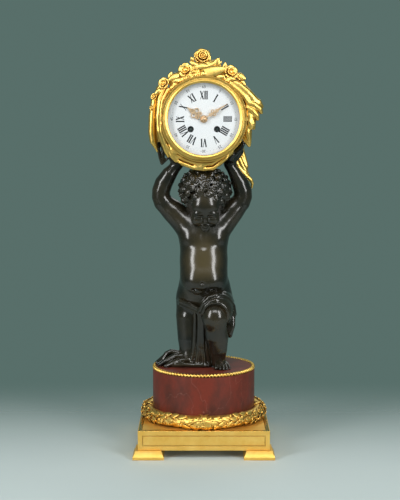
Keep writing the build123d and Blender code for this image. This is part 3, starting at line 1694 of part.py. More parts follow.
minute_hub = 2.1
with BuildPart() as minute_wheel:
    add(
        wheel(
            MINUTE_TEETH,
            CANNON_MODULE * MINUTE_TEETH / 2,
            gap_phase(minute_at, (0, 0), MINUTE_TEETH),
            minute_front,
            *minute_at,
        )
    )
    add(
        pinion(
            MINUTE_LEAVES,
            hour_module * MINUTE_LEAVES / 2,
            facing(minute_at, (0, 0)),
            hour_front - leaf_lead,
            *minute_at,
        )
    )
    add(bar(minute_hub, hour_front - leaf_lead, front_plate_front - PASS_GAP, *minute_at))
    add(
        bar(stud_radius + RUN_GAP, hour_front - leaf_lead, front_plate_front - PASS_GAP, *minute_at),
        mode=Mode.SUBTRACT,
    )
keep(minute_wheel.part, "minute_wheel")

with BuildPart() as hour_wheel:
    add(
        wheel(
            HOUR_TEETH,
            hour_module * HOUR_TEETH / 2,
            gap_phase((0, 0), minute_at, HOUR_TEETH),
            hour_front,
            0,
            0,
        )
    )
    add(bar(hour_pipe, hour_hand_front, hour_front + WHEEL_THICK))
    add(bar(CANNON_PIPE + 2 * RUN_GAP, hour_hand_front, hour_front + WHEEL_THICK), mode=Mode.SUBTRACT)
keep(hour_wheel.part, "hour_wheel")

# Strike side: pin wheel with the count wheel on its arbor, fly, hammer, bell on its post
count_front = back_plate_back + WHEEL_THICK
count_back = count_front + WHEEL_THICK
lift_radius = 0.8 * STRIKE_MODULE * STRIKE_TEETH / 2
lift_pin = 0.6
lift_back = centre_front + 3 * WHEEL_THICK
with BuildPart() as pin_wheel:
    add(
        turned(
            [
                (0, front_plate_front),
                (PIVOT_RADIUS, front_plate_front),
                (PIVOT_RADIUS, shoulder_front),
                (STOUT_RADIUS, shoulder_front),
                (STOUT_RADIUS, count_back),
                (0, count_back),
            ],
            *pin_wheel_at,
        )
    )
    add(
        pinion(
            SECOND_LEAVES,
            second_pinion,
            gap_phase(pin_wheel_at, strike_at, SECOND_LEAVES),
            barrel_back - leaf_lead,
            *pin_wheel_at,
        )
    )
    add(
        wheel(
            STRIKE_TEETH,
            STRIKE_MODULE * STRIKE_TEETH / 2,
            facing(pin_wheel_at, fly_at),
            centre_front,
            *pin_wheel_at,
        )
    )
    with BuildSketch(upright(lift_back, *pin_wheel_at)):
        with PolarLocations(lift_radius, 8):
            Circle(lift_pin)
    extrude(amount=lift_back - centre_front)
keep(pin_wheel.part, "pin_wheel")

with BuildPart() as count_wheel:
    with BuildSketch(upright(count_back, *pin_wheel_at)):
        Circle(COUNT_RADIUS)
        Circle(STOUT_RADIUS + SEAT_GAP, mode=Mode.SUBTRACT)
        strokes = 0
        for hour in range(1, 13):
            strokes = strokes + hour + 1
            turn = radians(strokes * 360 / 90)
            notch = (0.94 * COUNT_RADIUS * cos(turn), 0.94 * COUNT_RADIUS * sin(turn))
            with Locations(Location(notch, degrees(turn))):
                Rectangle(0.2 * COUNT_RADIUS, 0.11 * COUNT_RADIUS, mode=Mode.SUBTRACT)
    extrude(amount=WHEEL_THICK)
keep(count_wheel.part, "count_wheel")

fly_half = BARREL_LENGTH / 2
fly_middle = (barrel_front + barrel_back) / 2 - 2 * WHEEL_THICK
with BuildPart() as fly:
    add(arbor(shoulder_front, shoulder_back, *fly_at))
    add(
        pinion(
            FLY_LEAVES,
            STRIKE_MODULE * FLY_LEAVES / 2,
            gap_phase(fly_at, pin_wheel_at, FLY_LEAVES),
            centre_front - leaf_lead,
            *fly_at,
        )
    )
    add(
        slab(
            (fly_at[0] - FLY_REACH, fly_at[0] + FLY_REACH),
            (fly_middle - fly_half, fly_middle + fly_half),
            (fly_at[1] - PIVOT_RADIUS / 2, fly_at[1] + PIVOT_RADIUS / 2),
        )
    )
keep(fly.part, "fly")

bell_rim = back_plate_back + BELL_STAND
bell_crown = bell_rim + BELL_DEPTH
hammer_y = bell_rim + HAMMER_RADIUS / 2
tail_reach = hypot(hammer_at[0] - pin_wheel_at[0], hammer_at[1] - pin_wheel_at[1])
tail_length = tail_reach - lift_radius - lift_pin - 2 * PASS_GAP
tail_clockwise = 90 - facing(hammer_at, pin_wheel_at)
with BuildPart() as hammer:
    add(bar(STOUT_RADIUS, lift_back - 2 * WHEEL_THICK, hammer_y + WHEEL_THICK, *hammer_at))
    with BuildSketch(upright(lift_back, *hammer_at, clockwise=tail_clockwise)):
        with Locations((0, tail_length / 2)):
            Rectangle(2 * STOUT_RADIUS, tail_length)
    extrude(amount=WHEEL_THICK)
    add(
        slab(
            (HAMMER_X - STOUT_RADIUS, HAMMER_X + STOUT_RADIUS),
            (hammer_y - WHEEL_THICK / 2, hammer_y + WHEEL_THICK / 2),
            (HAMMER_RISE - HAMMER_DROP, HAMMER_RISE + 2),
        )
    )
    add(
        bar(
            HAMMER_RADIUS,
            hammer_y - HAMMER_RADIUS,
            hammer_y + HAMMER_RADIUS,
            HAMMER_X,
            HAMMER_RISE - HAMMER_DROP,
        )
    )
keep(hammer.part, "hammer")

bell = turned(
    [
        (BELL_RADIUS, bell_rim),
        (0.93 * BELL_RADIUS, bell_rim + 0.4 * BELL_DEPTH),
        (0.74 * BELL_RADIUS, bell_rim + 0.75 * BELL_DEPTH),
        (0.4 * BELL_RADIUS, bell_rim + 0.95 * BELL_DEPTH),
        (POST_RADIUS + SEAT_GAP, bell_crown),
        (POST_RADIUS + SEAT_GAP, bell_crown - BELL_WALL),
        (0.4 * BELL_RADIUS, bell_rim + 0.95 * BELL_DEPTH - BELL_WALL),
        (0.74 * BELL_RADIUS - BELL_WALL / 2, bell_rim + 0.75 * BELL_DEPTH - BELL_WALL),
        (0.93 * BELL_RADIUS - BELL_WALL, bell_rim + 0.4 * BELL_DEPTH - BELL_WALL / 2),
        (BELL_RADIUS - BELL_WALL, bell_rim),
    ],
    BELL_X,
    -BELL_DROP,
)
keep(bell, "bell")

with BuildPart() as bell_post:
    add(bar(2 * POST_RADIUS, back_plate_back, back_plate_back + PLATE_THICK, BELL_X, -BELL_DROP))
    add(bar(POST_RADIUS, back_plate_back, bell_crown + BELL_WALL, BELL_X, -BELL_DROP))
    add(
        bar(
            1.6 * POST_RADIUS,
            bell_crown - 2 * BELL_WALL,
            bell_crown - BELL_WALL - PASS_GAP,
            BELL_X,
            -BELL_DROP,
        )
    )
    add(bar(1.8 * POST_RADIUS, bell_crown + SEAT_GAP, bell_crown + BELL_WALL, BELL_X, -BELL_DROP))
keep(bell_post.part, "bell_post")
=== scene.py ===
"""Figural mantel clock: a kneeling bronze child carries a drum clock on a red marble base.

Metres, +Z up, the front faces -Y, the origin on the floor at the centre of the four feet.
Sizes are written in millimetres and turned into metres where a mesh is made.
"""

from math import cos, pi, radians, sin, sqrt

import bmesh
import bpy
import numpy as np
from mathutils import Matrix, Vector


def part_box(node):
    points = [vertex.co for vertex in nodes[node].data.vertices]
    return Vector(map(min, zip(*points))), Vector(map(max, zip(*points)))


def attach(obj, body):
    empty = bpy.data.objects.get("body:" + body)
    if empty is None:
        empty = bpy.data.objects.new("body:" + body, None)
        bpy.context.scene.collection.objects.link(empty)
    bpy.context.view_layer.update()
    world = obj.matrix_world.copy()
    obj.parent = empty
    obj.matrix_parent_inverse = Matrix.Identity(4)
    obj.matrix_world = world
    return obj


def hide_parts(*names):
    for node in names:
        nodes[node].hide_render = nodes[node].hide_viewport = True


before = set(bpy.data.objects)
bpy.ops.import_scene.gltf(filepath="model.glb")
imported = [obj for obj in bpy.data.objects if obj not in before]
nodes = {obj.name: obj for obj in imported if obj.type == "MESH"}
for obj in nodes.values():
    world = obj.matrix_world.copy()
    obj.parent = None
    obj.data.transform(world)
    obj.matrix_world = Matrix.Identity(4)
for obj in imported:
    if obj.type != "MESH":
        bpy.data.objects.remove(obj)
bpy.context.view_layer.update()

# Studio: a pale floor that fades out on every side, two tall soft boxes in front, a wide one above the camera
# and one over the back.  The camera stands where the photograph was taken, level with the dial.
MM = 0.001
CAMERA_PLACE = (-5.3, -1720, 466)
CAMERA_TILT = 6.17
CAMERA_LENS = 87.2
FLOOR_HALF = 1600
FLOOR_FADES = (("Y", -0.30, -0.62), ("Y", -0.16, 0.42), ("X", -0.40, -1.10), ("X", 0.40, 1.10))
FLOOR_LINES = 9
PAPER = (0.51, 0.57, 0.565)
PAPER_SHADE = (0.485, 0.545, 0.54)
AIR = (0.098, 0.158, 0.143, 1)


def points_of(*coordinates):
    """Points from arrays of their coordinates, each spread over the whole grid."""
    return np.stack(np.broadcast_arrays(*coordinates), axis=-1)


def grid_shape(points, round_rows=False, round_columns=False):
    """Points of a grid, row by row, and its quads; a round side joins its last line to its first."""
    rows, columns = points.shape[:2]
    row, column = np.meshgrid(
        np.arange(rows if round_rows else rows - 1),
        np.arange(columns if round_columns else columns - 1),
        indexing="ij",
    )
    down = (row + 1) % rows
    along = (column + 1) % columns
    corners = (row * columns + column, row * columns + along, down * columns + along, down * columns + column)
    return points.reshape(-1, 3), np.stack(corners, axis=-1).reshape(-1, 4)


def new_mesh(name, points, faces, material):
    """Object whose mesh holds the points, given in millimetres, and the faces; doubles are merged."""
    mesh = bpy.data.meshes.new(name)
    mesh.vertices.add(len(points))
    mesh.vertices.foreach_set("co", (np.asarray(points, float) * MM).ravel())
    mesh.loops.add(faces.size)
    mesh.loops.foreach_set("vertex_index", faces.ravel())
    mesh.polygons.add(len(faces))
    mesh.polygons.foreach_set("loop_start", np.arange(0, faces.size, faces.shape[1]))
    mesh.update(calc_edges=True)
    shell = bmesh.new()
    shell.from_mesh(mesh)
    bmesh.ops.remove_doubles(shell, verts=shell.verts, dist=0.01 * MM)
    bmesh.ops.recalc_face_normals(shell, faces=shell.faces)
    shell.to_mesh(mesh)
    shell.free()
    mesh.polygons.foreach_set("use_smooth", np.ones(len(mesh.polygons), bool))
    mesh.materials.append(material)
    thing = bpy.data.objects.new(name, mesh)
    bpy.context.scene.collection.objects.link(thing)
    return thing


def add_node(tree, kind, sockets, **settings):
    """Shader node; sockets are numbers, colours or other nodes' outputs, by name or by place."""
    node = tree.nodes.new("ShaderNode" + kind)
    for name, value in settings.items():
        setattr(node, name, value)
    for name, value in sockets.items():
        if isinstance(value, bpy.types.NodeSocket):
            tree.links.new(value, node.inputs[name])
        else:
            node.inputs[name].default_value = value
    return node


def new_material(name, **constants):
    """Material with its shader's constants set; gives the material, its tree, shader and coordinates."""
    material = bpy.data.materials.new(name)
    material.use_nodes = True
    tree = material.node_tree
    shader = tree.nodes["Principled BSDF"]
    for key, value in constants.items():
        shader.inputs[key.replace("_", " ").title().replace("Ior", "IOR")].default_value = value
    return material, tree, shader, add_node(tree, "TexCoord", {}).outputs["Object"]


def colour_steps(tree, factor, *steps):
    """Colour ramp through (place, colour) steps."""
    ramp = add_node(tree, "ValToRGB", {"Fac": factor})
    marks = ramp.color_ramp.elements
    while len(marks) < len(steps):
        marks.new(1)
    for mark, (place, colour) in zip(marks, steps):
        mark.position = place
        mark.color = colour if len(colour) == 4 else (*colour, 1)
    return ramp.outputs["Color"]


def noise(tree, place, **settings):
    """Noise at a place; its scale, detail and the like are named in small letters."""
    sockets = {name.title(): value for name, value in settings.items()}
    return add_node(tree, "TexNoise", {"Vector": place, **sockets}).outputs["Fac"]


def rescale(tree, value, given, wanted, **settings):
    """Value carried in proportion from the given range to the wanted one, and held at its ends."""
    ranges = {"From Min": given[0], "From Max": given[1], "To Min": wanted[0], "To Max": wanted[1]}
    return add_node(tree, "MapRange", {"Value": value, **ranges}, **settings).outputs["Result"]


def arithmetic(tree, operation, *values):
    """One operation on numbers or other nodes' outputs."""
    return add_node(tree, "Math", dict(enumerate(values)), operation=operation).outputs["Value"]


def plug(tree, shader, **sockets):
    """Joins nodes' outputs to the shader's sockets, named in small letters."""
    for name, output in sockets.items():
        tree.links.new(output, shader.inputs[name.replace("_", " ").title()])


def unit(vectors):
    """Vectors cut or stretched to length one."""
    return vectors / np.linalg.norm(vectors, axis=-1, keepdims=True)


camera = bpy.data.cameras.new("camera")
camera.lens = CAMERA_LENS
camera_object = bpy.data.objects.new("camera", camera)
camera_object.location = [place * MM for place in CAMERA_PLACE]
camera_object.rotation_euler = (radians(90 - CAMERA_TILT), 0, 0)
bpy.context.scene.collection.objects.link(camera_object)
bpy.context.scene.camera = camera_object

paper, paper_tree, paper_shader, paper_place = new_material("pale_paper", roughness=0.9)
paper_grain = noise(paper_tree, paper_place, scale=3.0, detail=3.0)
paper_tint = colour_steps(paper_tree, paper_grain, (0.3, PAPER_SHADE), (0.7, PAPER))
paper_depth = add_node(paper_tree, "SeparateXYZ", {"Vector": paper_place})
paper_fade = 1.0
for axis, full, gone in FLOOR_FADES:
    fade = rescale(
        paper_tree, paper_depth.outputs[axis], (full, gone), (1.0, 0.0), interpolation_type="SMOOTHSTEP"
    )
    paper_fade = arithmetic(paper_tree, "MULTIPLY", paper_fade, fade)
plug(paper_tree, paper_shader, base_color=paper_tint, alpha=paper_fade)
floor_line = np.linspace(-FLOOR_HALF, FLOOR_HALF, FLOOR_LINES)
floor = grid_shape(points_of(floor_line, floor_line[:, None], 0))
new_mesh("pale_floor", *floor, paper)

for name, place, aim, width, height, power in (
    ("box_left", (-1150, -1050, 800), (0, 0, 300), 360, 1400, 19),
    ("box_right", (1000, -1150, 800), (0, 0, 300), 360, 1400, 18),
    ("box_front", (0, -1500, 1700), (0, 0, 250), 1200, 500, 14),
    ("box_back", (300, 1500, 1500), (0, 0, 300), 1200, 900, 6),
):
    lamp = bpy.data.lights.new(name, "AREA")
    lamp.shape = "RECTANGLE"
    lamp.size = width * MM
    lamp.size_y = height * MM
    lamp.energy = power
    lamp_object = bpy.data.objects.new(name, lamp)
    lamp_object.location = [spot * MM for spot in place]
    toward = unit(np.array(aim) - np.array(place))
    lamp_object.rotation_euler = (np.arccos(-toward[2]), 0, np.arctan2(-toward[0], toward[1]))
    bpy.context.scene.collection.objects.link(lamp_object)
world = bpy.data.worlds.new("air")
world.use_nodes = True
world.node_tree.nodes["Background"].inputs["Color"].default_value = AIR
world.node_tree.nodes["Background"].inputs["Strength"].default_value = 1.0
bpy.context.scene.world = world
bpy.context.scene.view_settings.view_transform = "Standard"

# Feet and plinth: gilt bronze castings, file-finished, with a fine matted ground on the panels.
# Each foot is screwed up into the plinth; an incised line frames the plinth's faces and a burnished
# border its top.
GILT = (0.86, 0.50, 0.095)
GILT_PALE = (0.96, 0.67, 0.20)
# Colour of the painted shade that ambient occlusion lays into the gilt's recesses.
GILT_SHADE = (0.36, 0.13, 0.016)
BORDER_INSETS = (0.4, 0.8, 6.0, 6.4)
BORDER_RISES = (-0.3, 0.25, 0.25, -0.3)
BASE_PIECES = ("foot_front_left", "foot_front_right", "foot_rear_left", "foot_rear_right", "plinth")


def mix(tree, share, first, second):
    """Colour that goes from the first to the second as the share grows."""
    return add_node(tree, "MixRGB", {"Fac": share, "Color1": first, "Color2": second}).outputs["Color"]


def bump(tree, height, strength, depth, **more):
    """Normal tipped by a height as if it were so deep, in millimetres."""
    sockets = {"Strength": strength, "Distance": depth * MM, "Height": height, **more}
    return add_node(tree, "Bump", sockets).outputs["Normal"]


def gilt_finish(name, roughness, matting, recess, tones=(GILT_SHADE, GILT, GILT_PALE)):
    """Fire-gilt bronze: broad noise drifts its tone, cell noise mats it, and painted shade darkens its
    recesses, found by ambient occlusion.
    """
    material, tree, shader, place = new_material(name, metallic=1.0)
    drift = noise(tree, place, scale=45.0, detail=6.0, roughness=0.65)
    tone = colour_steps(tree, drift, (0.25, tones[1]), (0.75, tones[2]))
    # Painted shade: ambient occlusion within the recess distance darkens the colour towards the first tone.
    shade_occlusion = add_node(tree, "AmbientOcclusion", {"Distance": recess * MM}, samples=6)
    open_share = rescale(tree, shade_occlusion.outputs["AO"], (0.35, 0.85), (0, 1))
    shaded_tone = mix(tree, open_share, (*tones[0], 1), tone)
    wear = noise(tree, place, scale=160.0, detail=4.0)
    rough = rescale(tree, wear, (0, 1), (roughness - 0.08, roughness + 0.12))
    punch = add_node(tree, "TexVoronoi", {"Vector": place, "Scale": 900.0})
    ground = arithmetic(tree, "ADD", punch.outputs["Distance"], noise(tree, place, scale=240.0, detail=5.0))
    edge = add_node(tree, "Bevel", {"Radius": 0.5 * MM}, samples=4)
    relief = bump(tree, ground, strength=matting, depth=0.4, Normal=edge.outputs["Normal"])
    plug(tree, shader, base_color=shaded_tone, roughness=rough, normal=relief)
    return material


def dress(material, *pieces):
    """Gives a finish to pieces that keep their CAD shape."""
    for piece in pieces:
        nodes[piece].data.materials[0] = material


matt_gilt = gilt_finish("matt_gilt", roughness=0.52, matting=0.35, recess=2)
dress(matt_gilt, *BASE_PIECES)
burnished_gilt = gilt_finish("burnished_gilt", roughness=0.16, matting=0.02, recess=1)
plinth_high = np.array(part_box("plinth")[1]) / MM
border_half = plinth_high[0] - np.array(BORDER_INSETS)[None, :, None]
border_corner = np.array([(-1, -1), (1, -1), (1, 1), (-1, 1)])[:, None, :]
border_top = plinth_high[2] + np.tile(np.array(BORDER_RISES)[None, :, None], (4, 1, 1))
border_points = np.concatenate([border_half * border_corner, border_top], axis=-1)
plinth_border = new_mesh("plinth_border", *grid_shape(border_points, True, True), burnished_gilt)
plinth_border.data.polygons.foreach_set("use_smooth", np.zeros(len(plinth_border.data.polygons), bool))
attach(plinth_border, "clock_frame")

# Marble drum: a turned and polished block of red griotte, bolted between the plinth and the figure.
# Brownish red cloud, dark blotches, thin pale veins and a few bright flecks.
MARBLE_RED = (0.150, 0.026, 0.015)
MARBLE_BROWN = (0.088, 0.022, 0.014)
MARBLE_DARK = (0.048, 0.015, 0.011)
MARBLE_VEIN = (0.38, 0.20, 0.16)


def red_marble():
    """Stretched noise clouds between three reds; a bent noise's middle line draws faint thin veins; the
    middles of a few cells are pale flecks."""
    material, tree, shader, place = new_material("red_marble", roughness=0.40, specular_ior_level=0.22)
    stretch = add_node(
        tree, "Mapping", {"Vector": place, "Scale": (1.0, 1.0, 0.55), "Rotation": (0.3, 0.5, 0.2)}
    )
    cloud = noise(tree, stretch.outputs["Vector"], scale=24.0, detail=9.0, roughness=0.66)
    steps = ((0.30, MARBLE_DARK), (0.44, MARBLE_BROWN), (0.58, MARBLE_RED), (0.85, MARBLE_BROWN))
    body = colour_steps(tree, cloud, *steps)
    bent = noise(tree, place, scale=10.0, detail=7.0, distortion=1.4)
    thin = arithmetic(tree, "ABSOLUTE", arithmetic(tree, "SUBTRACT", bent, 0.5))
    vein = rescale(tree, thin, (0, 0.005), (0.22, 0))
    veined = mix(tree, vein, body, (*MARBLE_VEIN, 1))
    cells = add_node(tree, "TexVoronoi", {"Vector": place, "Scale": 75.0, "Randomness": 1.0})
    middle = rescale(tree, cells.outputs["Distance"], (0.04, 0.14), (0.5, 0))
    lot = add_node(tree, "SeparateColor", {"Color": cells.outputs["Color"]})
    few = arithmetic(tree, "GREATER_THAN", lot.outputs["Red"], 0.86)
    flecked = mix(tree, arithmetic(tree, "MULTIPLY", middle, few), veined, (*MARBLE_VEIN, 1))
    plug(tree, shader, base_color=flecked, normal=bump(tree, cloud, strength=0.05, depth=0.2))
    return material


dress(red_marble(), "marble_drum")

# Laurel wreath: a gilt bronze ring round the foot of the drum, cast with its leaves and berries
# and chased by hand.  The leaves run to the front from both sides, under crossed ribbons.
wreath_low, wreath_high = (np.array(corner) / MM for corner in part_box("laurel_wreath"))
WREATH_TUBE = 9.0
WREATH_OUTREACH = 11.2
WREATH_SEAT = 10.1
WREATH_RING = wreath_high[0] - WREATH_OUTREACH
WREATH_Z = wreath_low[2] + WREATH_SEAT
WREATH_LINES = 96
TUBE_LINES = 16
CORE_INSET = 0.5
LEAF_INSET = 0.9
LEAF_LENGTH = 19.0
LEAF_HALF = 4.6
LEAF_CROWN = 1.1
LEAF_SETBACK = 4
LEAF_SPLAY = 0.28
LEAF_LIFT = 0.10
LEAF_STEPS = 46
LEAF_ROWS = (-34, -6, 22, 48)
BERRY = 2.0
BERRY_STAND = 0.6
RIBBON_HALF = 2.3
RIBBON_THICK = 0.7
RIBBON_LINES = 40
BAND_LINES = 12
RIBBON_TURN = 6.5


def round_angles(count):
    """Angles of so many equal steps round a circle."""
    return np.linspace(0, 2 * pi, count, endpoint=False)


def leaf_shape(length, half, crown, rows=8, columns=8):
    """Closed leaf: a lens section carried along its midrib, widest before the middle, its tip lifted."""
    along = np.linspace(0, 1, rows)[:, None]
    round_angle = round_angles(columns)[None, :]
    width = half * np.sin(pi * along**0.8) ** 0.8
    rise = crown * np.sin(pi * along)
    side = width * np.cos(round_angle)
    top = np.sin(round_angle)
    lift = rise * np.where(top > 0, top, 0.5 * top) + 0.9 * crown * along**2
    return grid_shape(points_of(length * along, side, lift), round_columns=True)


def repeat_shape(shape, axes, places):
    """Copies of one shape: each copy's points are its own three axes times the shape, plus its place."""
    points, faces = shape
    copies = np.einsum("pk,nki->npi", points, axes) + places[:, None, :]
    offsets = (np.arange(len(places)) * len(points))[:, None, None]
    return copies.reshape(-1, 3), (faces[None] + offsets).reshape(-1, faces.shape[1])


def gather(*shapes):
    """One list of points and one of faces from several shapes."""
    starts = np.cumsum([0] + [len(points) for points, _ in shapes[:-1]])
    return (
        np.concatenate([points for points, _ in shapes]),
        np.concatenate([faces + start for (_, faces), start in zip(shapes, starts)]),
    )


def bead(radius, rows=5, columns=8):
    """Small sphere from circles of latitude."""
    lat = np.linspace(-pi / 2, pi / 2, rows)[:, None]
    lon = round_angles(columns)[None, :]
    ball = points_of(np.cos(lat) * np.cos(lon), np.cos(lat) * np.sin(lon), np.sin(lat))
    return grid_shape(radius * ball, round_columns=True)


def on_wreath(turn, tilt, tube):
    """Point of the ring's tube, its direction along the ring and its outward normal; turn 0 is the front."""
    out = points_of(np.sin(turn), -np.cos(turn), 0)
    along = points_of(np.cos(turn), np.sin(turn), 0)
    up = np.array([0.0, 0.0, 1.0])
    normal = np.cos(tilt)[..., None] * out + np.sin(tilt)[..., None] * up
    return WREATH_RING * out + tube * normal + WREATH_Z * up, along, normal


ring_turn, ring_tilt = np.meshgrid(round_angles(WREATH_LINES), round_angles(TUBE_LINES), indexing="ij")
wreath_core = grid_shape(on_wreath(ring_turn, ring_tilt, WREATH_TUBE - CORE_INSET)[0], True, True)
step, row = np.meshgrid(np.arange(LEAF_STEPS), np.arange(len(LEAF_ROWS)), indexing="ij")
leaf_turn = ((step + 0.5 * (row % 2) + 0.25) / LEAF_STEPS * 2 * pi).ravel()
leaf_tilt = np.radians(np.array(LEAF_ROWS, float)[row.ravel()])
leaf_place, leaf_along, leaf_normal = on_wreath(leaf_turn, leaf_tilt, WREATH_TUBE - LEAF_INSET)
to_front = np.where(leaf_turn < pi, -1.0, 1.0)[:, None]
leaf_side = np.cross(leaf_normal, leaf_along * to_front)
splay = LEAF_SPLAY * np.where(row.ravel() % 2 == 0, 1, -1) * np.sin(7 * leaf_turn + row.ravel())
leaf_axis = unit(leaf_along * to_front + splay[:, None] * leaf_side + LEAF_LIFT * leaf_normal)
leaf_side = unit(np.cross(leaf_normal, leaf_axis))
leaf_axes = np.stack([leaf_axis, leaf_side, np.cross(leaf_axis, leaf_side)], axis=1)
laurel_leaf = leaf_shape(LEAF_LENGTH, LEAF_HALF, LEAF_CROWN)
wreath_leaves = repeat_shape(laurel_leaf, leaf_axes, leaf_place - LEAF_SETBACK * leaf_axis)
berry_turn = (np.arange(2 * LEAF_STEPS) + 0.6) / LEAF_STEPS * pi
berry_tilt = np.radians(15 + 42 * np.sin(2.4 * np.arange(2 * LEAF_STEPS)))
berry_place, berry_along, berry_normal = on_wreath(berry_turn, berry_tilt, WREATH_TUBE + BERRY_STAND)
berry_axes = np.stack([berry_along, np.cross(berry_normal, berry_along), berry_normal], axis=1)
wreath_berries = repeat_shape(bead(BERRY), berry_axes, berry_place)


def wreath_ribbon(middle, way):
    """Flat band laid round the tube: its turn grows with the tilt, so two of them cross on top."""
    tilt = np.radians(np.linspace(-70, 200, RIBBON_LINES))[:, None]
    section = round_angles(BAND_LINES)[None, :]
    turn = radians(middle) + way * radians(RIBBON_TURN) * (tilt - radians(45)) / radians(115)
    turn = turn + RIBBON_HALF * np.cos(section) / WREATH_RING
    tube = WREATH_TUBE + RIBBON_THICK + RIBBON_THICK * np.sin(section)
    middle_line, _, normal = on_wreath(turn, tilt, 0)
    return grid_shape(middle_line + tube[..., None] * normal, round_columns=True)


wreath_ribbons = [wreath_ribbon(middle, way) for middle in (0, 90, 180, 270) for way in (-1, 1)]
wreath_gilt = gilt_finish("wreath_gilt", roughness=0.42, matting=0.10, recess=1.2)
wreath = new_mesh("wreath", *gather(wreath_core, wreath_leaves, wreath_berries, *wreath_ribbons), wreath_gilt)
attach(wreath, "clock_frame")
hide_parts("laurel_wreath")

# Rope ring: a gilt bronze moulding, cast as a twisted rope.
# It sits in a rebate round the top edge of the marble.
rope_low, rope_high = (np.array(corner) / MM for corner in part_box("rope_ring"))
ROPE_TUBE = (rope_high[2] - rope_low[2]) / 2
ROPE_RING = rope_high[0] - ROPE_TUBE
ROPE_PITCH = 4.8
ROPE_CORE = 0.30
ROPE_SWELL = 0.95
STRAND_LINES = 8
ROPE_LINES = 12


def rope_moulding():
    """Ring whose round section swells in slanting strands, with sharp valleys between them."""
    twists = round(2 * pi * ROPE_RING / ROPE_PITCH)
    turn = round_angles(twists * STRAND_LINES)[:, None]
    around = round_angles(ROPE_LINES)[None, :]
    swell = np.abs(np.sin(around / 2 + twists / 2 * turn))
    tube = ROPE_TUBE * (ROPE_CORE + ROPE_SWELL * swell)
    reach = ROPE_RING + tube * np.cos(around)
    height = (rope_low[2] + rope_high[2]) / 2 + tube * np.sin(around)
    return grid_shape(points_of(reach * np.sin(turn), -reach * np.cos(turn), height), True, True)


rope = new_mesh("rope_moulding", *rope_moulding(), wreath_gilt)
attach(rope, "clock_frame")
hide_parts("rope_ring")

# Figure: a kneeling child, lost-wax cast in bronze in several pieces, joined and darkly patinated.
# Two studs bolt it through the marble to the plinth; it carries the clock on both hands and its head.
FIGURE_SOFT = 9.0
BRONZE_DARK = (0.0050, 0.0052, 0.0040)
BRONZE_BROWN = (0.030, 0.022, 0.0105)
# Painted light: a lighter brown laid round a point before the belly, as a pool of light on the chest and
# belly.
BRONZE_LIT = (0.085, 0.062, 0.026)
LIT_PATCH_AT = (0, -42, 272)
LIT_PATCH_REACH = 44
BODY_GRAIN = 1.1
HEAD_GRAIN = 0.8


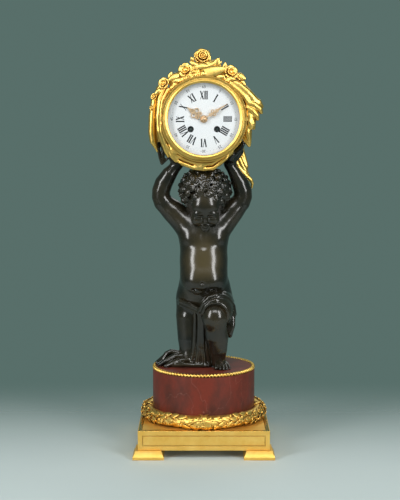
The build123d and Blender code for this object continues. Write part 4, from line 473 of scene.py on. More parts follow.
class Wax:
    """Modelling wax: a grid of distances to the surface, below zero inside, in millimetres."""

    def __init__(self, low, high, grain):
        self.low = np.array(low, float)
        self.grain = grain
        self.size = np.ceil((np.array(high) - self.low) / grain).astype(int) + 1
        self.depth = np.full(self.size, 99.0, np.float32)

    def near(self, low, high):
        """Part of the grid between two corners, and the coordinates of its points."""
        first = np.clip(np.floor((low - self.low) / self.grain).astype(int), 0, self.size)
        last = np.clip(np.ceil((high - self.low) / self.grain).astype(int) + 1, 0, self.size)
        axes = [self.low[k] + self.grain * np.arange(first[k], last[k]) for k in range(3)]
        return tuple(map(slice, first, last)), np.stack(np.meshgrid(*axes, indexing="ij"), axis=-1)

    def blend(self, part, distance, soft, cut):
        """Adds or cuts a shape with a fillet about as wide as soft."""
        old = -self.depth[part] if cut else self.depth[part]
        share = np.clip(0.5 + 0.5 * (old - distance) / soft, 0, 1)
        new = old + (distance - old) * share - soft * share * (1 - share)
        self.depth[part] = -new if cut else new

    def lump(self, centre, radii, soft=FIGURE_SOFT, nod=0, cut=False):
        """Ellipsoid, nodded forward by an angle; its distance is scaled from the unit sphere."""
        centre = np.array(centre, float)
        radii = np.array(radii, float)
        reach = radii.max() + soft + 3 * self.grain
        part, points = self.near(centre - reach, centre + reach)
        turn = radians(nod)
        axes = np.array([[1, 0, 0], [0, cos(turn), -sin(turn)], [0, sin(turn), cos(turn)]])
        local = (points - centre) @ axes
        unit = np.linalg.norm(local / radii, axis=-1)
        slope = np.linalg.norm(local / radii**2, axis=-1) + 1e-6
        self.blend(part, unit * (unit - 1) / slope, soft, cut)

    def roll(self, path, soft=FIGURE_SOFT, cut=False):
        """Roll of wax through stations of x, y, z and radius: round cones from each to the next."""
        path = np.array(path, float)
        reach = path[:, 3].max() + soft + 3 * self.grain
        part, points = self.near(path[:, :3].min(0) - reach, path[:, :3].max(0) + reach)
        distance = np.full(points.shape[:-1], 99.0)
        for start, end in zip(path[:-1], path[1:]):
            axis = end[:3] - start[:3]
            share = np.clip((points - start[:3]) @ axis / (axis @ axis), 0, 1)
            gap = np.linalg.norm(points - start[:3] - share[..., None] * axis, axis=-1)
            distance = np.minimum(distance, gap - start[3] - share * (end[3] - start[3]))
        self.blend(part, distance, soft, cut)

    def skin(self):
        """Surface of the wax: one point in each grid cell that the surface crosses, at the mean of
        its edge crossings, and one quad round each grid edge that changes sign."""
        depth = np.pad(self.depth, 1, constant_values=9.0)
        inside = depth < 0
        cells = np.array(depth.shape) - 1
        total = np.zeros((*cells, 3), np.float32)
        count = np.zeros(cells, np.float32)
        quads = []
        for axis in range(3):
            start = [slice(None)] * 3
            end = [slice(None)] * 3
            start[axis], end[axis] = slice(None, -1), slice(1, None)
            low, high = depth[tuple(start)], depth[tuple(end)]
            edge = np.argwhere(inside[tuple(start)] != inside[tuple(end)])
            at = tuple(edge.T)
            crossing = edge.astype(np.float32)
            crossing[:, axis] += low[at] / (low[at] - high[at])
            one, two = (axis + 1) % 3, (axis + 2) % 3
            ring = []
            for step_one, step_two in ((-1, -1), (0, -1), (0, 0), (-1, 0)):
                cell = edge.copy()
                cell[:, one] += step_one
                cell[:, two] += step_two
                ring.append(cell)
                np.add.at(total, tuple(cell.T), crossing)
                np.add.at(count, tuple(cell.T), 1)
            quad = np.stack([np.ravel_multi_index(tuple(cell.T), cells) for cell in ring], axis=-1)
            outward = inside[tuple(start)][at]
            quads.append(np.where(outward[:, None], quad, quad[:, ::-1]))
        quads = np.concatenate(quads)
        used, faces = np.unique(quads, return_inverse=True)
        mean = total.reshape(-1, 3)[used] / count.reshape(-1, 1)[used]
        return self.low + self.grain * (mean - 1), faces.reshape(-1, 4)

    def cast(self, name, material, slot, *replaced):
        """Piece with the wax's skin, smoothed, in place of its CAD pieces."""
        piece = new_mesh(name, *self.skin(), material)
        polish = piece.modifiers.new("polish", "SMOOTH")
        polish.factor = 0.5
        polish.iterations = 3
        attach(piece, "clock_frame")
        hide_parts(*replaced)


def dark_bronze():
    """Near black patina, browner where broad noise thins it, and a lighter brown painted on the belly and
    chest as a pool of light from the front; waxed to a gloss, with a faint casting skin."""
    material, tree, shader, place = new_material("dark_bronze", specular_ior_level=0.62)
    thin = noise(tree, place, scale=18.0, detail=6.0, roughness=0.6)
    tone = colour_steps(tree, thin, (0.38, BRONZE_DARK), (0.72, BRONZE_BROWN))
    # Painted light: the lighter brown fades with distance from a point before the belly.
    middle = [spot * MM for spot in LIT_PATCH_AT]
    away = add_node(tree, "VectorMath", {0: place, 1: middle}, operation="DISTANCE").outputs["Value"]
    near = (0.25 * LIT_PATCH_REACH * MM, LIT_PATCH_REACH * MM)
    lit_patch = rescale(tree, away, near, (0.65, 0), interpolation_type="SMOOTHSTEP")
    lit_tone = mix(tree, lit_patch, tone, (*BRONZE_LIT, 1))
    haze = noise(tree, place, scale=130.0, detail=4.0)
    rough = rescale(tree, haze, (0, 1), (0.14, 0.26))
    plug(tree, shader, base_color=lit_tone, roughness=rough, normal=bump(tree, haze, strength=0.05, depth=0.3))
    return material


bronze = dark_bronze()
body = Wax((-84, -66, 108), (80, 76, 446), BODY_GRAIN)
# Trunk, from the seat to the neck
body.lump((1, 12, 210), (35.5, 26, 27))
body.lump((1, 7, 230), (35, 24, 22), 12)
body.lump((0, 7, 268), (33, 22, 48), 14)
body.lump((0, -8, 243), (33, 25, 27), 10)
body.lump((0, -4, 266), (32.5, 24, 34), 10)
body.roll([(-9, -13.5, 239, 18.8), (9, -13.5, 239, 18.8)], 9)
body.lump((0, 3, 298), (34, 22, 28), 12)
for side in (-1, 1):
    body.lump((15 * side + 1, 7, 220), (20.5, 22, 24), 9)
    body.lump((15 * side, -8, 299), (13, 10, 11), 9)
    body.roll([(18 * side, -1, 302, 13), (30 * side, 4, 322, 15), (40 * side, 7, 334, 14)], 12)
    body.lump((13 * side, 22, 208), (17, 17, 20), 9)
body.lump((0, 3, 318), (30, 17, 16), 12)
body.roll([(0, 9, 318, 17), (1, -2, 345, 17)], 10)
body.lump((0, -4, 210), (27, 17, 20), 9)
body.roll([(-18, -23, 230, 1.5), (-8, -30, 224, 2.1), (3, -31, 223, 2.1), (14, -26, 228, 1.5)], 3, cut=True)
body.lump((-2, -35, 236), (2.2, 4, 1.8), 3, cut=True)
body.roll([(0, -23, 304, 1.0), (0, -27, 288, 0.8)], 7, cut=True)
# Kneeling leg, the viewer's left, with its shin laid back on the marble
body.roll([(-19, 13, 208, 20), (-20, 8.5, 184, 20), (-20, 7, 152, 17.5), (-19, 6, 128, 15)])
body.lump((-19, 4, 125), (14, 12.5, 12), 7)
body.roll([(-19, 10, 126, 13), (-18, 32, 127, 13.5), (-17, 50, 122, 9.5), (-17, 60, 121, 8.5)])
body.roll([(-17, 60, 121, 8), (-17, 65, 117, 5)], 5)
# Raised leg, the viewer's right, with its foot set forward
body.roll([(20, 10, 206, 21), (19, -12, 201, 19.5), (16, -30, 193, 17)])
body.lump((15.5, -34, 189), (15.5, 14, 15), 8)
body.roll([(16, -31, 186, 15.5), (18.5, -23, 160, 17), (19.5, -20, 140, 14), (20, -18, 124, 10.5)])
body.roll([(20, -10, 121, 8), (22.5, -16, 121, 7.5), (25, -20, 118.6, 5.4)], 6)
# Arms: raised, elbows out, the hands flat on the sides of the case
HAND_RADIUS = 66.5
CLOCK_AXIS = 466.0
FINGER_SPREADS = (-11, -3.8, 3.4, 10.2)
for side, forearm in (
    (-1, ((57.5, 6.5, 348, 13.8), (61, 6, 356, 13), (60.5, 5, 365, 13), (57, 3, 375, 12.8),
          (49, 0, 388, 11), (36.5, -1, 403, 7))),
    (1, ((52.5, 6.5, 348, 13.8), (56, 6, 356, 13), (55.5, 5, 365, 13), (52, 3, 375, 12.2),
         (45, 0, 388, 9.4), (36, -1, 403.5, 7))),
):
    arm = [(29, 7, 320, 16), (forearm[0][0] - 11, 7, 337, 15), *forearm]
    body.roll([(x * side, y, z, thick) for x, y, z, thick in arm], 9)
    body.roll([(36.5 * side, -1, 403, 7), (43.5 * side, -1, 413, 7.2), (49.5 * side, -1, 420, 7)], 5)
    for spread in FINGER_SPREADS:
        knuckles = np.radians([50, 40, 30 + abs(spread) * 0.25])
        reach = HAND_RADIUS - np.array([0.5, 0.5, 1.5])
        width = np.array([0.75, 1.0, 1.08]) * spread - 1
        thick = np.array([4.4, 4.0, 3.4])
        across = side * reach * np.cos(knuckles)
        body.roll(points_of(across, width, CLOCK_AXIS - reach * np.sin(knuckles), thick), 2)
    body.roll([(41 * side, -6, 408, 5), (37.5 * side, -15, 410, 4.2), (41 * side, -20, 416, 3.6)], 3)
body.cast(
    "figure_body",
    bronze,
    "dark_bronze",
    "figure_torso",
    "figure_right_leg",
    "figure_left_leg",
    "figure_right_arm",
    "figure_left_arm",
)

# Toes of the forward foot: five, cast in one with it.
# They are a piece of their own so that their wax can have a finer grain.
TOE_GRAIN = 0.7
toes = Wax((10, -46, 110), (44, -12, 130), TOE_GRAIN)
for index, (toe_x, toe_y, toe) in enumerate(
    ((17.6, -36, 2.9), (23.4, -39, 2.1), (28.2, -38.5, 1.95), (32.7, -36.5, 1.85), (36.8, -33, 1.7))
):
    root = 18.6 + 3.4 * index
    toes.roll([(root, -18, 119.5, 2.6), (0.4 * root + 0.6 * toe_x, 0.6 * toe_y - 6, 118.2, toe),
               (toe_x, toe_y, 113.2 + toe, toe)], 0.3)
toes.cast("figure_toes", bronze, "dark_bronze")

# Head: bowed under the clock, with a plain calm child's face and a cap of tight ringlets.
# It is cast apart in bronze, joined at the neck, and its hair is chased after casting.
HEAD_CENTRE = np.array([2.0, -9.0, 344.5])
HEAD_NOD = 28
HAIR_CENTRE = np.array([2.0, -5.0, 366.5])
HAIR_RADII = np.array([34.0, 30.5, 29.5])
RINGLETS = 84
CURL_LINES = 22
CURL_HALF_TURNS = 4.2
CURL_RISE = 4.2
head_up = np.array([0, -sin(radians(HEAD_NOD)), cos(radians(HEAD_NOD))])
head_out = np.array([0, -cos(radians(HEAD_NOD)), -sin(radians(HEAD_NOD))])


def on_head(across, up, out):
    """Point of the head from its centre: across to the viewer's right, up the face, out of the face."""
    return HEAD_CENTRE + np.array([across, 0, 0]) + up * head_up + out * head_out


head = Wax((-44, -56, 304), (48, 42, 410), HEAD_GRAIN)


def feature(across, up, out, radii, soft, cut=False):
    """Lump of the face or skull, nodded with the head."""
    head.lump(on_head(across, up, out), radii, soft, HEAD_NOD, cut)


feature(0, 8, -2, (25.5, 27, 27), 6)
feature(0, -6, 3, (21, 22.5, 25), 8)
feature(0, 8, 17, (17, 9, 12), 6)
feature(0, -25, 20, (7.5, 6.5, 6.5), 6)
for side in (-1, 1):
    feature(11.5 * side, -13, 16, (9, 9, 9.5), 5)
    feature(9 * side, -3, 26.5, (6.2, 4, 3.6), 4, cut=True)
    feature(9 * side, -3.6, 21.6, (5.4, 3.4, 3.6), 1.2)
    lid = [(*on_head(9 * side + x, -5.6 - 0.05 * x * x + 0.6, 24.8 - 0.03 * x * x), 0.5) for x in (-4, 0, 4)]
    head.roll(lid, 1.0, cut=True)
    feature(9 * side, 2.2, 24.2, (6.5, 3, 2.2), 4)
    feature(2.7 * side, -12, 27.2, (2.0, 2.2, 1.8), 1.6)
    feature(2.1 * side, -17.2, 25.4, (3.2, 2.2, 1.4), 1.4)
    feature(23.5 * side, -5, -1, (3.6, 6, 7), 2.5)
head.roll([(*on_head(0, 0, 24.5), 2.2), (*on_head(0, -10.5, 28.6), 3.0)], 3)
feature(0, -20.2, 25.0, (3.6, 2.2, 1.7), 1.4)
mouth = [(*on_head(x, -18.7 + 0.03 * x * x, 27.4 - 0.06 * x * x), 0.4) for x in (-4.5, 0, 4.5)]
head.roll(mouth, 0.8, cut=True)
head.lump(HAIR_CENTRE, HAIR_RADII - 4, 5)
for ringlet in range(RINGLETS):
    level = 1 - 1.72 * (ringlet + 0.5) / RINGLETS
    spin = ringlet * pi * (3 - sqrt(5))
    flat = sqrt(1 - level * level)
    normal = np.array([flat * cos(spin), flat * sin(spin), level])
    place = HAIR_CENTRE + HAIR_RADII * normal
    over_face = (place - HEAD_CENTRE) @ head_out > 12 and (place - HEAD_CENTRE) @ head_up < 8
    if not over_face:
        size = 6.3 + 1.2 * sin(2.3 * ringlet)
        first = unit(np.cross(normal, (0.3, 0.2, 1.0)))
        second = np.cross(normal, first)
        coil = np.linspace(0.6, CURL_HALF_TURNS * pi, CURL_LINES) + ringlet
        wind = np.linspace(1.0, 0.12, CURL_LINES) * size
        climb = np.linspace(-0.5, CURL_RISE, CURL_LINES)
        curl = place + wind[:, None] * (np.cos(coil)[:, None] * first + np.sin(coil)[:, None] * second)
        curl = curl + climb[:, None] * normal
        head.roll(np.column_stack([curl, np.linspace(2.2, 1.5, CURL_LINES)]), 0.4)
head.cast("figure_head_cast", bronze, "dark_bronze", "figure_head")

# Cloth of the figure: cast bronze folds round the hips, over the raised thigh and between the legs,
# and a heap on the marble by the kneeling knee.
CLOTH_GRAIN = 1.0
CLOTH_BLEND = 3
HEM_CREASE = 1.5
FLAP_CREASE = 2.4
HANGING_CREASE = 1.2
HEAP_CREASE = 1.3
HIP_LINES = (
    ((-36.6, 6, 209), (-33, -10, 208), (-19, -21, 204), (-7, -30, 199)),
    ((-36.6, 6, 209), (-33, 23, 210), (-14, 35, 211), (10, 36, 210), (30, 26, 208), (41, 8, 205)),
)
FLAP_FOLDS = (
    (-20, -23, 163, 3.6),
    (-13, -17, 159, 4.0),
    (-5, -10, 158, 4.2),
    (3, -2, 163, 4.2),
    (10, 6, 172, 3.8),
)
cloth = Wax((-78, -64, 110), (56, 48, 234), CLOTH_GRAIN)
# Over the raised thigh, open round the knee, with a double hem
cloth.roll([(19, 10, 205, 24), (19, -12, 202, 24.5), (18, -28, 197, 23)], 4)
cloth.lump((14, -64, 184), (32, 28, 34), 2, cut=True)
cloth.roll([(-6, -33, 197, 2.4), (0, -38, 210, 2.8), (8, -39, 217.5, 3), (17, -37, 220, 3.2),
            (27, -32, 218, 3.2), (35, -26, 213, 3.2), (42, -18, 202, 3.2), (44, -15, 190, 3)], HEM_CREASE)
cloth.roll([(-3, -38, 194, 2), (2, -42, 205, 2.2), (9, -44, 212, 2.4), (17, -42.5, 214.5, 2.6),
            (26, -38, 212.5, 2.6), (33, -32, 207, 2.6), (38.5, -25, 197, 2.4)], HEM_CREASE)
# Hip band, right round the body
for drop, thick in ((0, 3.1), (5.5, 2.5)):
    for line in HIP_LINES:
        cloth.roll([(x, y, z - drop, thick) for x, y, z in line], HEM_CREASE)
# Side flap against the raised leg
cloth.roll([(33, -10, 200, 10), (34, -10, 178, 9), (33, -12, 166, 6)], CLOTH_BLEND)
cloth.roll([(36, -19, 198, 5), (37, -20, 180, 5), (36.5, -21, 166, 4)], CLOTH_BLEND)
for top_y, foot_y, foot_z, thick in FLAP_FOLDS:
    cloth.roll([(39, top_y + 3, 204, thick), (41.5, top_y, 189, thick), (41, foot_y, 174, thick),
                (37.5, foot_y, foot_z, 0.8 * thick)], FLAP_CREASE)
# Folds between the legs, down to the marble
cloth.roll([(-2, -22, 196, 6), (-1, -14, 155, 7), (0, -8, 118, 10)], CLOTH_BLEND)
cloth.roll([(-9, -17, 194, 6), (-9, -9, 155, 8), (-9, -5, 120, 9)], CLOTH_BLEND)
for stations in (
    [(-12, -24, 193, 2.4), (-12.5, -17, 165, 3.0), (-14, -13, 135, 3.4), (-18, -12, 117, 4.0)],
    [(-6.5, -31, 197, 2.6), (-6, -24, 172, 3.0), (-7, -18, 142, 3.4), (-9.5, -16, 118, 4.0)],
    [(-1, -33, 196, 2.6), (-1.5, -25, 168, 3.0), (-1, -19, 140, 3.4), (0, -17, 117, 4.2)],
    [(3, -28, 190, 2.8), (3.5, -21, 160, 3.4), (5, -16, 134, 3.8), (9, -13, 117, 4.2)],
):
    cloth.roll(stations, HANGING_CREASE)
# Heap on the marble by the kneeling knee, and its hem
cloth.lump((-40, 4, 114), (27, 20, 10), 4)
for fold in (
    [(-24, 8, 126, 5), (-36, 8, 129, 4.2), (-47, 8, 131.5, 3.6), (-54, 6, 129, 3.2), (-60, 0, 121, 2.8),
     (-66, -6, 117, 2.2)],
    [(-30, 14, 122, 6), (-44, 16, 126, 4.2), (-52, 14, 128, 3.4), (-60, 11, 121, 3.4), (-68, 6, 116, 2.4)],
    [(-28, -2, 127, 4.4), (-42, -4, 127, 4.2), (-55, -10, 121, 3.6), (-64, -14, 116, 2.4)],
    [(-24, -8, 121, 4), (-38, -11, 121, 4), (-48, -16, 118, 3.2), (-55, -20, 115.6, 2.4)],
    [(-44, -15, 116, 2.8), (-28, -17, 117.4, 3.4), (-14, -18, 116.6, 3.2), (0, -19, 116.8, 3.4),
     (10, -15, 116, 3)],
    [(-32, -10, 122, 3.4), (-18, -11, 124, 3.6), (-4, -12, 122, 3.4)],
    [(-28, -2, 131, 3), (-16, -6, 130, 3.4), (-6, -9, 128, 3)],
    [(-46, 10, 131, 3), (-54, 14, 125, 3), (-58, 20, 118, 3)],
):
    cloth.roll(fold, HEAP_CREASE)
cloth.cast("figure_cloth", bronze, "dark_bronze", "figure_drapery", "ground_cloth")

# Clock case: a gilt bronze drum with turned rings let into its front and back.
# The straps and screws that hold the movement in it are plain brass.
chased_gilt = gilt_finish("chased_gilt", roughness=0.36, matting=0.10, recess=3)
dress(chased_gilt, "case_drum", "front_ring", "back_ring")

# Case drapery: gilt bronze cast from a wax of gathered cloth, pinned behind the roses.  It falls in
# pleats at both sides of the dial, swags below it and ends in a tail behind the arm.
FALL_CREASE = 1.4
BAND_BLEND = 4
SWAG_CREASE = 0.6
SHADE_SHEET_GRAIN = 0.8
gilt_cloth = Wax((-86, -46, 360), (88, 36, 532), CLOTH_GRAIN)
# Left fall: a body of cloth over the side of the case, pleats on it and a lapped edge by the bezel
gilt_cloth.roll([(-60, -14, 507, 7), (-64, -13, 488, 8), (-65, -12, 466, 8.5), (-65, -12, 450, 7),
                 (-63, -12, 438, 4.5)], CLOTH_BLEND)
gilt_cloth.roll([(-55, -27, 506, 6), (-59, -27, 488, 6.5), (-61, -27, 466, 6.5), (-59, -27, 446, 6),
                 (-54, -27, 430, 5)], CLOTH_BLEND)
for fold in (
    [(-62, 2, 500, 3), (-66, 1, 484, 4.5), (-68, 0, 466, 4.5), (-67, 0, 450, 4), (-64, -1, 437, 2.4)],
    [(-63, -9, 507, 3.4), (-69, -10, 490, 5.4), (-71.5, -10, 468, 6), (-72, -10, 448, 5.4),
     (-69.4, -10, 435, 3.8), (-66, -10, 426, 1.6)],
    [(-62, -19, 509, 3.4), (-68.5, -20, 493, 4.8), (-71.5, -20, 469, 5.4), (-72.4, -19, 447, 5.2),
     (-71, -18, 435, 4.8), (-66.8, -17, 426, 2.4), (-64.9, -16, 420, 1.2)],
    [(-54, -31, 510, 3), (-61, -33, 494, 3.6), (-63.2, -34, 470, 3.8), (-62, -34, 450, 3.8),
     (-56.8, -33, 435, 3.4), (-52.6, -32, 422, 3), (-49.6, -31, 414, 1.6)],
    [(-49, -36, 507, 2.6), (-57, -37.5, 490, 3), (-59.8, -38.5, 467, 3), (-58.4, -38.5, 449, 3),
     (-54, -37, 436, 3), (-50, -36, 423, 1.8)],
    [(-54, -33, 437, 3), (-50, -34, 427, 4), (-44, -34, 416, 4.2), (-38.5, -33, 408, 2.4)],
    [(-46, -36, 430, 2.6), (-41, -36, 420, 3), (-36, -35, 412, 2.2)],
):
    gilt_cloth.roll(fold, FALL_CREASE)
# Right fall: a smooth band from the crest, a bunch held by the hand's side and a pointed end
gilt_cloth.roll([(37, -27, 520, 6), (50, -28, 511, 7), (60, -28, 500, 8), (66, -26, 488, 8)], BAND_BLEND)
gilt_cloth.roll([(36, -35, 520, 4), (48, -36, 513, 5.4), (60, -36, 502.5, 5.8),
                 (69, -34, 494, 5)], BAND_BLEND)
gilt_cloth.roll([(37, -37, 513, 3.4), (47, -38, 505, 4.4), (56, -38, 496, 4.6),
                 (62, -37, 488, 4)], CLOTH_BLEND)
gilt_cloth.roll([(62, -18, 494, 8), (66, -17, 478, 8.5), (63.5, -17, 462, 7.5), (60.5, -18, 448, 5.5),
                 (60, -20, 436, 3)], CLOTH_BLEND)
for fold in (
    [(58, -35, 495, 4), (67, -35, 494, 5), (75.5, -33, 489, 4.6), (80, -31, 483, 3)],
    [(60, -37, 488, 3.4), (69, -37, 486, 4.6), (77, -35, 480, 4.2), (79.5, -33, 475, 2.6)],
    [(59, -38, 482, 3.2), (67, -38, 478, 4.4), (73, -37, 471, 4), (74.5, -35, 466, 2.6)],
    [(60, -35, 482, 4.4), (63.5, -36, 470, 5.4), (67.5, -35, 460, 4.4), (69.5, -33, 453, 2)],
    [(66, -31, 486, 4.8), (69, -31, 473, 4.6), (69.5, -30, 462, 3.2), (69.5, -31, 454, 2)],
    [(60.5, -37.5, 474, 3), (62.5, -37.5, 463, 4), (66, -36, 454, 2.8)],
    [(60, -33, 460, 5), (60.5, -33, 448, 5), (62.5, -31, 438, 3.6), (63.5, -30, 429, 1.8)],
    [(58, -29, 456, 4.5), (55, -29, 446, 4), (57.5, -29, 437, 3.2), (62.5, -29, 429, 1.8)],
    [(63.5, -30, 455, 3.6), (63.8, -30, 443, 3), (63.8, -30, 431, 1.8)],
    [(71, -24, 490, 4), (74, -23, 480, 4), (70.5, -20, 466, 3.4), (67, -19, 456, 2.6)],
    [(64, -10, 488, 4), (67, -10, 474, 4), (64.5, -10, 458, 4), (61, -13, 444, 2.4)],
):
    gilt_cloth.roll(fold, FALL_CREASE)
# Swag under the bezel
gilt_cloth.roll([(-38, -27, 414, 4), (-20, -27, 405, 5.5), (0, -27, 402.5, 6), (20, -27, 405.5, 5.5),
                 (38, -27, 421, 4)], CLOTH_BLEND)
for fold in (
    [(-41, -33, 411, 2), (-31, -35, 405.5, 2.6), (-14, -35.5, 398.6, 2.8), (0, -35.5, 397, 2.9),
     (13, -35.5, 398, 2.8), (31, -35, 412, 2.6), (42, -33, 430, 2)],
    [(-41, -36, 417.5, 2), (-28, -37, 411, 2.6), (-9, -37.5, 404.6, 2.8), (11, -37.5, 404.6, 2.8),
     (30, -37, 417.5, 2.5), (43, -35, 434, 2)],
    [(-44, -38, 424, 1.8), (-30, -39, 417, 2.2), (-10, -39.5, 411, 2.4), (10, -39.5, 411, 2.4),
     (30, -39, 422, 2.2), (42, -37, 438, 1.8)],
    [(-30, -26, 404, 3), (-8, -26, 397.5, 3.4), (12, -26, 398, 3.4), (30, -26, 411, 3)],
    [(-20, -34, 402, 1.6), (-4, -37.5, 400, 2.0), (12, -38, 406, 2.0), (26, -37.5, 416, 1.6)],
):
    gilt_cloth.roll(fold, SWAG_CREASE)
# Tail behind the arm: two gathered folds over a ribbon that runs down to a point
for fold in (
    [(50, 21, 436, 5), (53, 21, 424, 4.6), (57, 21, 411, 4.4), (60.5, 21, 399, 3.8), (61.5, 20, 394, 2.2)],
    [(45, 18, 428, 4.4), (49, 17, 414, 4.2), (54, 16, 402, 3.8), (59.5, 17, 393, 3), (62, 18, 390, 2)],
    [(41, 17, 424, 4), (44.5, 16, 408, 3.8), (51, 16, 396, 3.4), (60, 17, 386, 3.2), (67.5, 18, 379.5, 3),
     (70, 19, 374, 2.2), (69, 19, 368, 1.6)],
    [(48, 27, 430, 5), (53, 27, 413, 4.6), (57, 26, 400, 4), (62, 24, 388, 3), (67, 22, 378, 2.4)],
):
    gilt_cloth.roll(fold, FALL_CREASE)
gilt_cloth.cast(
    "case_cloth", chased_gilt, "gilt_bronze", "drapery_left", "drapery_right", "drapery_swag", "drapery_tail"
)
# Painted shade: a thin dark bronze sheet inside the left fall that hangs to a point behind the folds, where
# the gilt cloth's inner side lies in shadow
shade_sheet = Wax((-70, -16, 394), (-40, 10, 442), SHADE_SHEET_GRAIN)
for edge in (
    [(-63, -6, 436, 2.2), (-64, -6, 424, 2.2), (-62, -5, 412, 2), (-59.8, -4, 403, 1.3)],
    [(-58, -6, 434, 2.2), (-57.6, -5, 420, 2.2), (-57, -4, 411, 2), (-58.6, -4, 405, 1.3)],
    [(-55, -6, 432, 2.2), (-53, -5, 420, 2.4), (-50, -4, 412, 1.8), (-54, -4, 407.5, 1.6),
     (-58, -4, 404, 1.3)],
):
    shade_sheet.roll(edge, CLOTH_BLEND)
shade_sheet.cast("drapery_shade_sheet", bronze, "dark_bronze")

# Floral crest: gilt bronze roses, buds and leaves, each cast apart and pinned on a leafy bed
# that follows the top of the case.
ROSE = (-2, -24, 551)
ROSE_RADIUS = 12.6
ROSE_EYE = 2.0
OPEN_EYE = 0.24
PETAL_THICK = 0.8
STAMENS = 14
CREST_LEAF_CROWN = 2.0
CREST_LEAF_FACE = (0, -1, 0.25)
BED_REACH = 61.5
BED_DEPTH = -34
BED_TUBE = 6.2
BED_LINES = 120
BED_ROUND = 20
MOUND_GRAIN = 1.2


def petal_shape(length, half, cup, curl, rows=8, columns=9):
    """Cupped petal: a fan that widens to a rounded lip, bowed across, its lip rolled back by curl."""
    along = np.linspace(0, 1, rows)[:, None]
    across = np.linspace(-1, 1, columns)[None, :]
    reach = along * np.sqrt(np.clip(1 - 0.32 * across**2, 0, 1))
    width = half * (0.25 + 0.75 * np.sin(pi / 2 * along))
    height = cup * (along**1.3 + 0.45 * across**2 * along) - curl * np.clip(along - 0.72, 0, 1) ** 2 * 9
    top = points_of(length * reach, width * across, height)
    under = top - np.array([0, 0, PETAL_THICK])
    top_points, top_faces = grid_shape(top)
    rim = np.concatenate(
        [
            np.arange(columns),
            np.arange(1, rows) * columns + columns - 1,
            (rows - 1) * columns + np.arange(columns - 2, -1, -1),
            np.arange(rows - 2, 0, -1) * columns,
        ]
    )
    following = np.roll(rim, -1)
    count = rows * columns
    wall = np.stack([rim, following, following + count, rim + count], axis=-1)
    points = np.concatenate([top_points, under.reshape(-1, 3)])
    return points, np.concatenate([top_faces, top_faces[:, ::-1] + count, wall])


def facing_axes(towards, spin, rise):
    """Axes of a petal that leaves a flower facing towards: turned about that way by spin, raised by rise."""
    towards = unit(np.array(towards))
    level = unit(np.cross(towards, (0.31, 0.12, 0.94)))
    other = np.cross(towards, level)
    outward = np.cos(spin)[:, None] * level + np.sin(spin)[:, None] * other
    side = np.cross(towards, outward)
    axis = np.cos(rise)[:, None] * outward + np.sin(rise)[:, None] * towards
    return np.stack([axis, side, np.cross(axis, side)], axis=1)


def flower(centre, towards, radius, whorls, eye):
    """Whorls of petals round one way: each whorl is a count, a share of the radius, a rise and a cup;
    eye is the radius of the knob of stamens."""
    shapes = []
    for whorl, (count, share, rise, cup) in enumerate(whorls):
        spin = 2 * pi * np.arange(count) / count + 0.7 * whorl
        axes = facing_axes(towards, spin, np.full(count, radians(rise)))
        half = radius * share * 2.2 / count**0.55 * 0.5
        petal = petal_shape(radius * share, half, cup * radius, 0.10 * radius)
        shapes.append(repeat_shape(petal, axes, np.tile(np.array(centre, float), (count, 1))))
    way = unit(np.array(towards))
    spiral = np.arange(STAMENS)
    knob = facing_axes(towards, 2.4 * spiral, 0 * spiral)
    seat = np.array(centre, float) + way * eye * 0.8
    spread = (eye * np.sqrt(spiral / STAMENS))[:, None]
    dome = (eye * 0.4 * (1 - spiral / STAMENS))[:, None]
    places = seat + knob[:, 0] * spread + way * dome
    shapes.append(repeat_shape(bead(eye * 0.42, 4, 6), knob, places))
    shapes.append(repeat_shape(bead(radius * 0.42, 6, 10), knob[:1], np.array([centre], float)))
    return gather(*shapes)


ROSE_WHORLS = (
    (6, 1.0, 8, 0.16),
    (6, 0.92, 30, 0.18),
    (5, 0.78, 50, 0.18),
    (5, 0.60, 66, 0.15),
    (4, 0.42, 78, 0.1),
)
OPEN_WHORLS = ((5, 1.0, 6, 0.16), (5, 0.72, 34, 0.16))
crest_shapes = [flower(ROSE, (0.1, -0.9, 0.35), ROSE_RADIUS, ROSE_WHORLS, ROSE_EYE)]
for place, towards, radius in (
    ((-25, -36, 533), (-0.2, -0.9, 0.3), 10.5),
    ((-13, -38, 531), (0.1, -0.95, 0.2), 7.0),
    ((37, -35, 530), (0.3, -0.85, 0.3), 10.5),
    ((-55, -35, 515), (-0.4, -0.85, 0.3), 8.5),
    ((-69, -30, 497), (-0.5, -0.8, 0.2), 5.0),
    ((-72, -28, 481), (-0.6, -0.75, 0.1), 4.2),
    ((50, -36, 524), (0.4, -0.85, 0.3), 5.5),
):
    crest_shapes.append(flower(place, towards, radius, OPEN_WHORLS, OPEN_EYE * radius))


def leaf_at(base, tip, normal, half, crown):
    """One leaf from its base to its tip, its upper side along normal."""
    base, tip, normal = (np.array(corner, float) for corner in (base, tip, normal))
    axis = unit(tip - base)
    side = unit(np.cross(normal, axis))
    shape = leaf_shape(np.linalg.norm(tip - base), half, crown, 16, 12)
    return repeat_shape(shape, np.array([[axis, side, np.cross(axis, side)]]), base[None])


for base, tip, half in (
    ((-8, -38, 527), (32, -41, 535), 8.5),
    ((2, -37, 522), (30, -41, 524), 6.0),
    ((-6, -32, 538), (26, -34, 544), 6.0),
    ((2, -34, 535), (20, -34, 545), 4.5),
    ((-4, -34, 536), (-20, -32, 545), 4.0),
    ((-6, -38, 526), (-20, -40, 522), 4.5),
    ((-34, -37, 528), (-49, -38, 518), 5.0),
    ((-30, -38, 522), (-44, -40, 516), 4.0),
    ((-14, -34, 545), (-18, -33, 551), 3.0),
    ((14, -34, 535), (21, -34, 550), 5.5),
    ((22, -33, 535), (17, -33, 547), 4.0),
    ((44, -36, 528), (58, -36, 520), 5.0),
    ((30, -37, 524), (44, -40, 519), 4.5),
    ((46, -34, 522), (58, -34, 512), 4.5),
    ((-58, -34, 508), (-68, -33, 500), 3.6),
    ((-48, -36, 520), (-44, -35, 531), 3.6),
    ((28, -34, 532), (30, -33, 544), 3.6),
):
    crest_shapes.append(leaf_at(base, tip, CREST_LEAF_FACE, half, CREST_LEAF_CROWN))


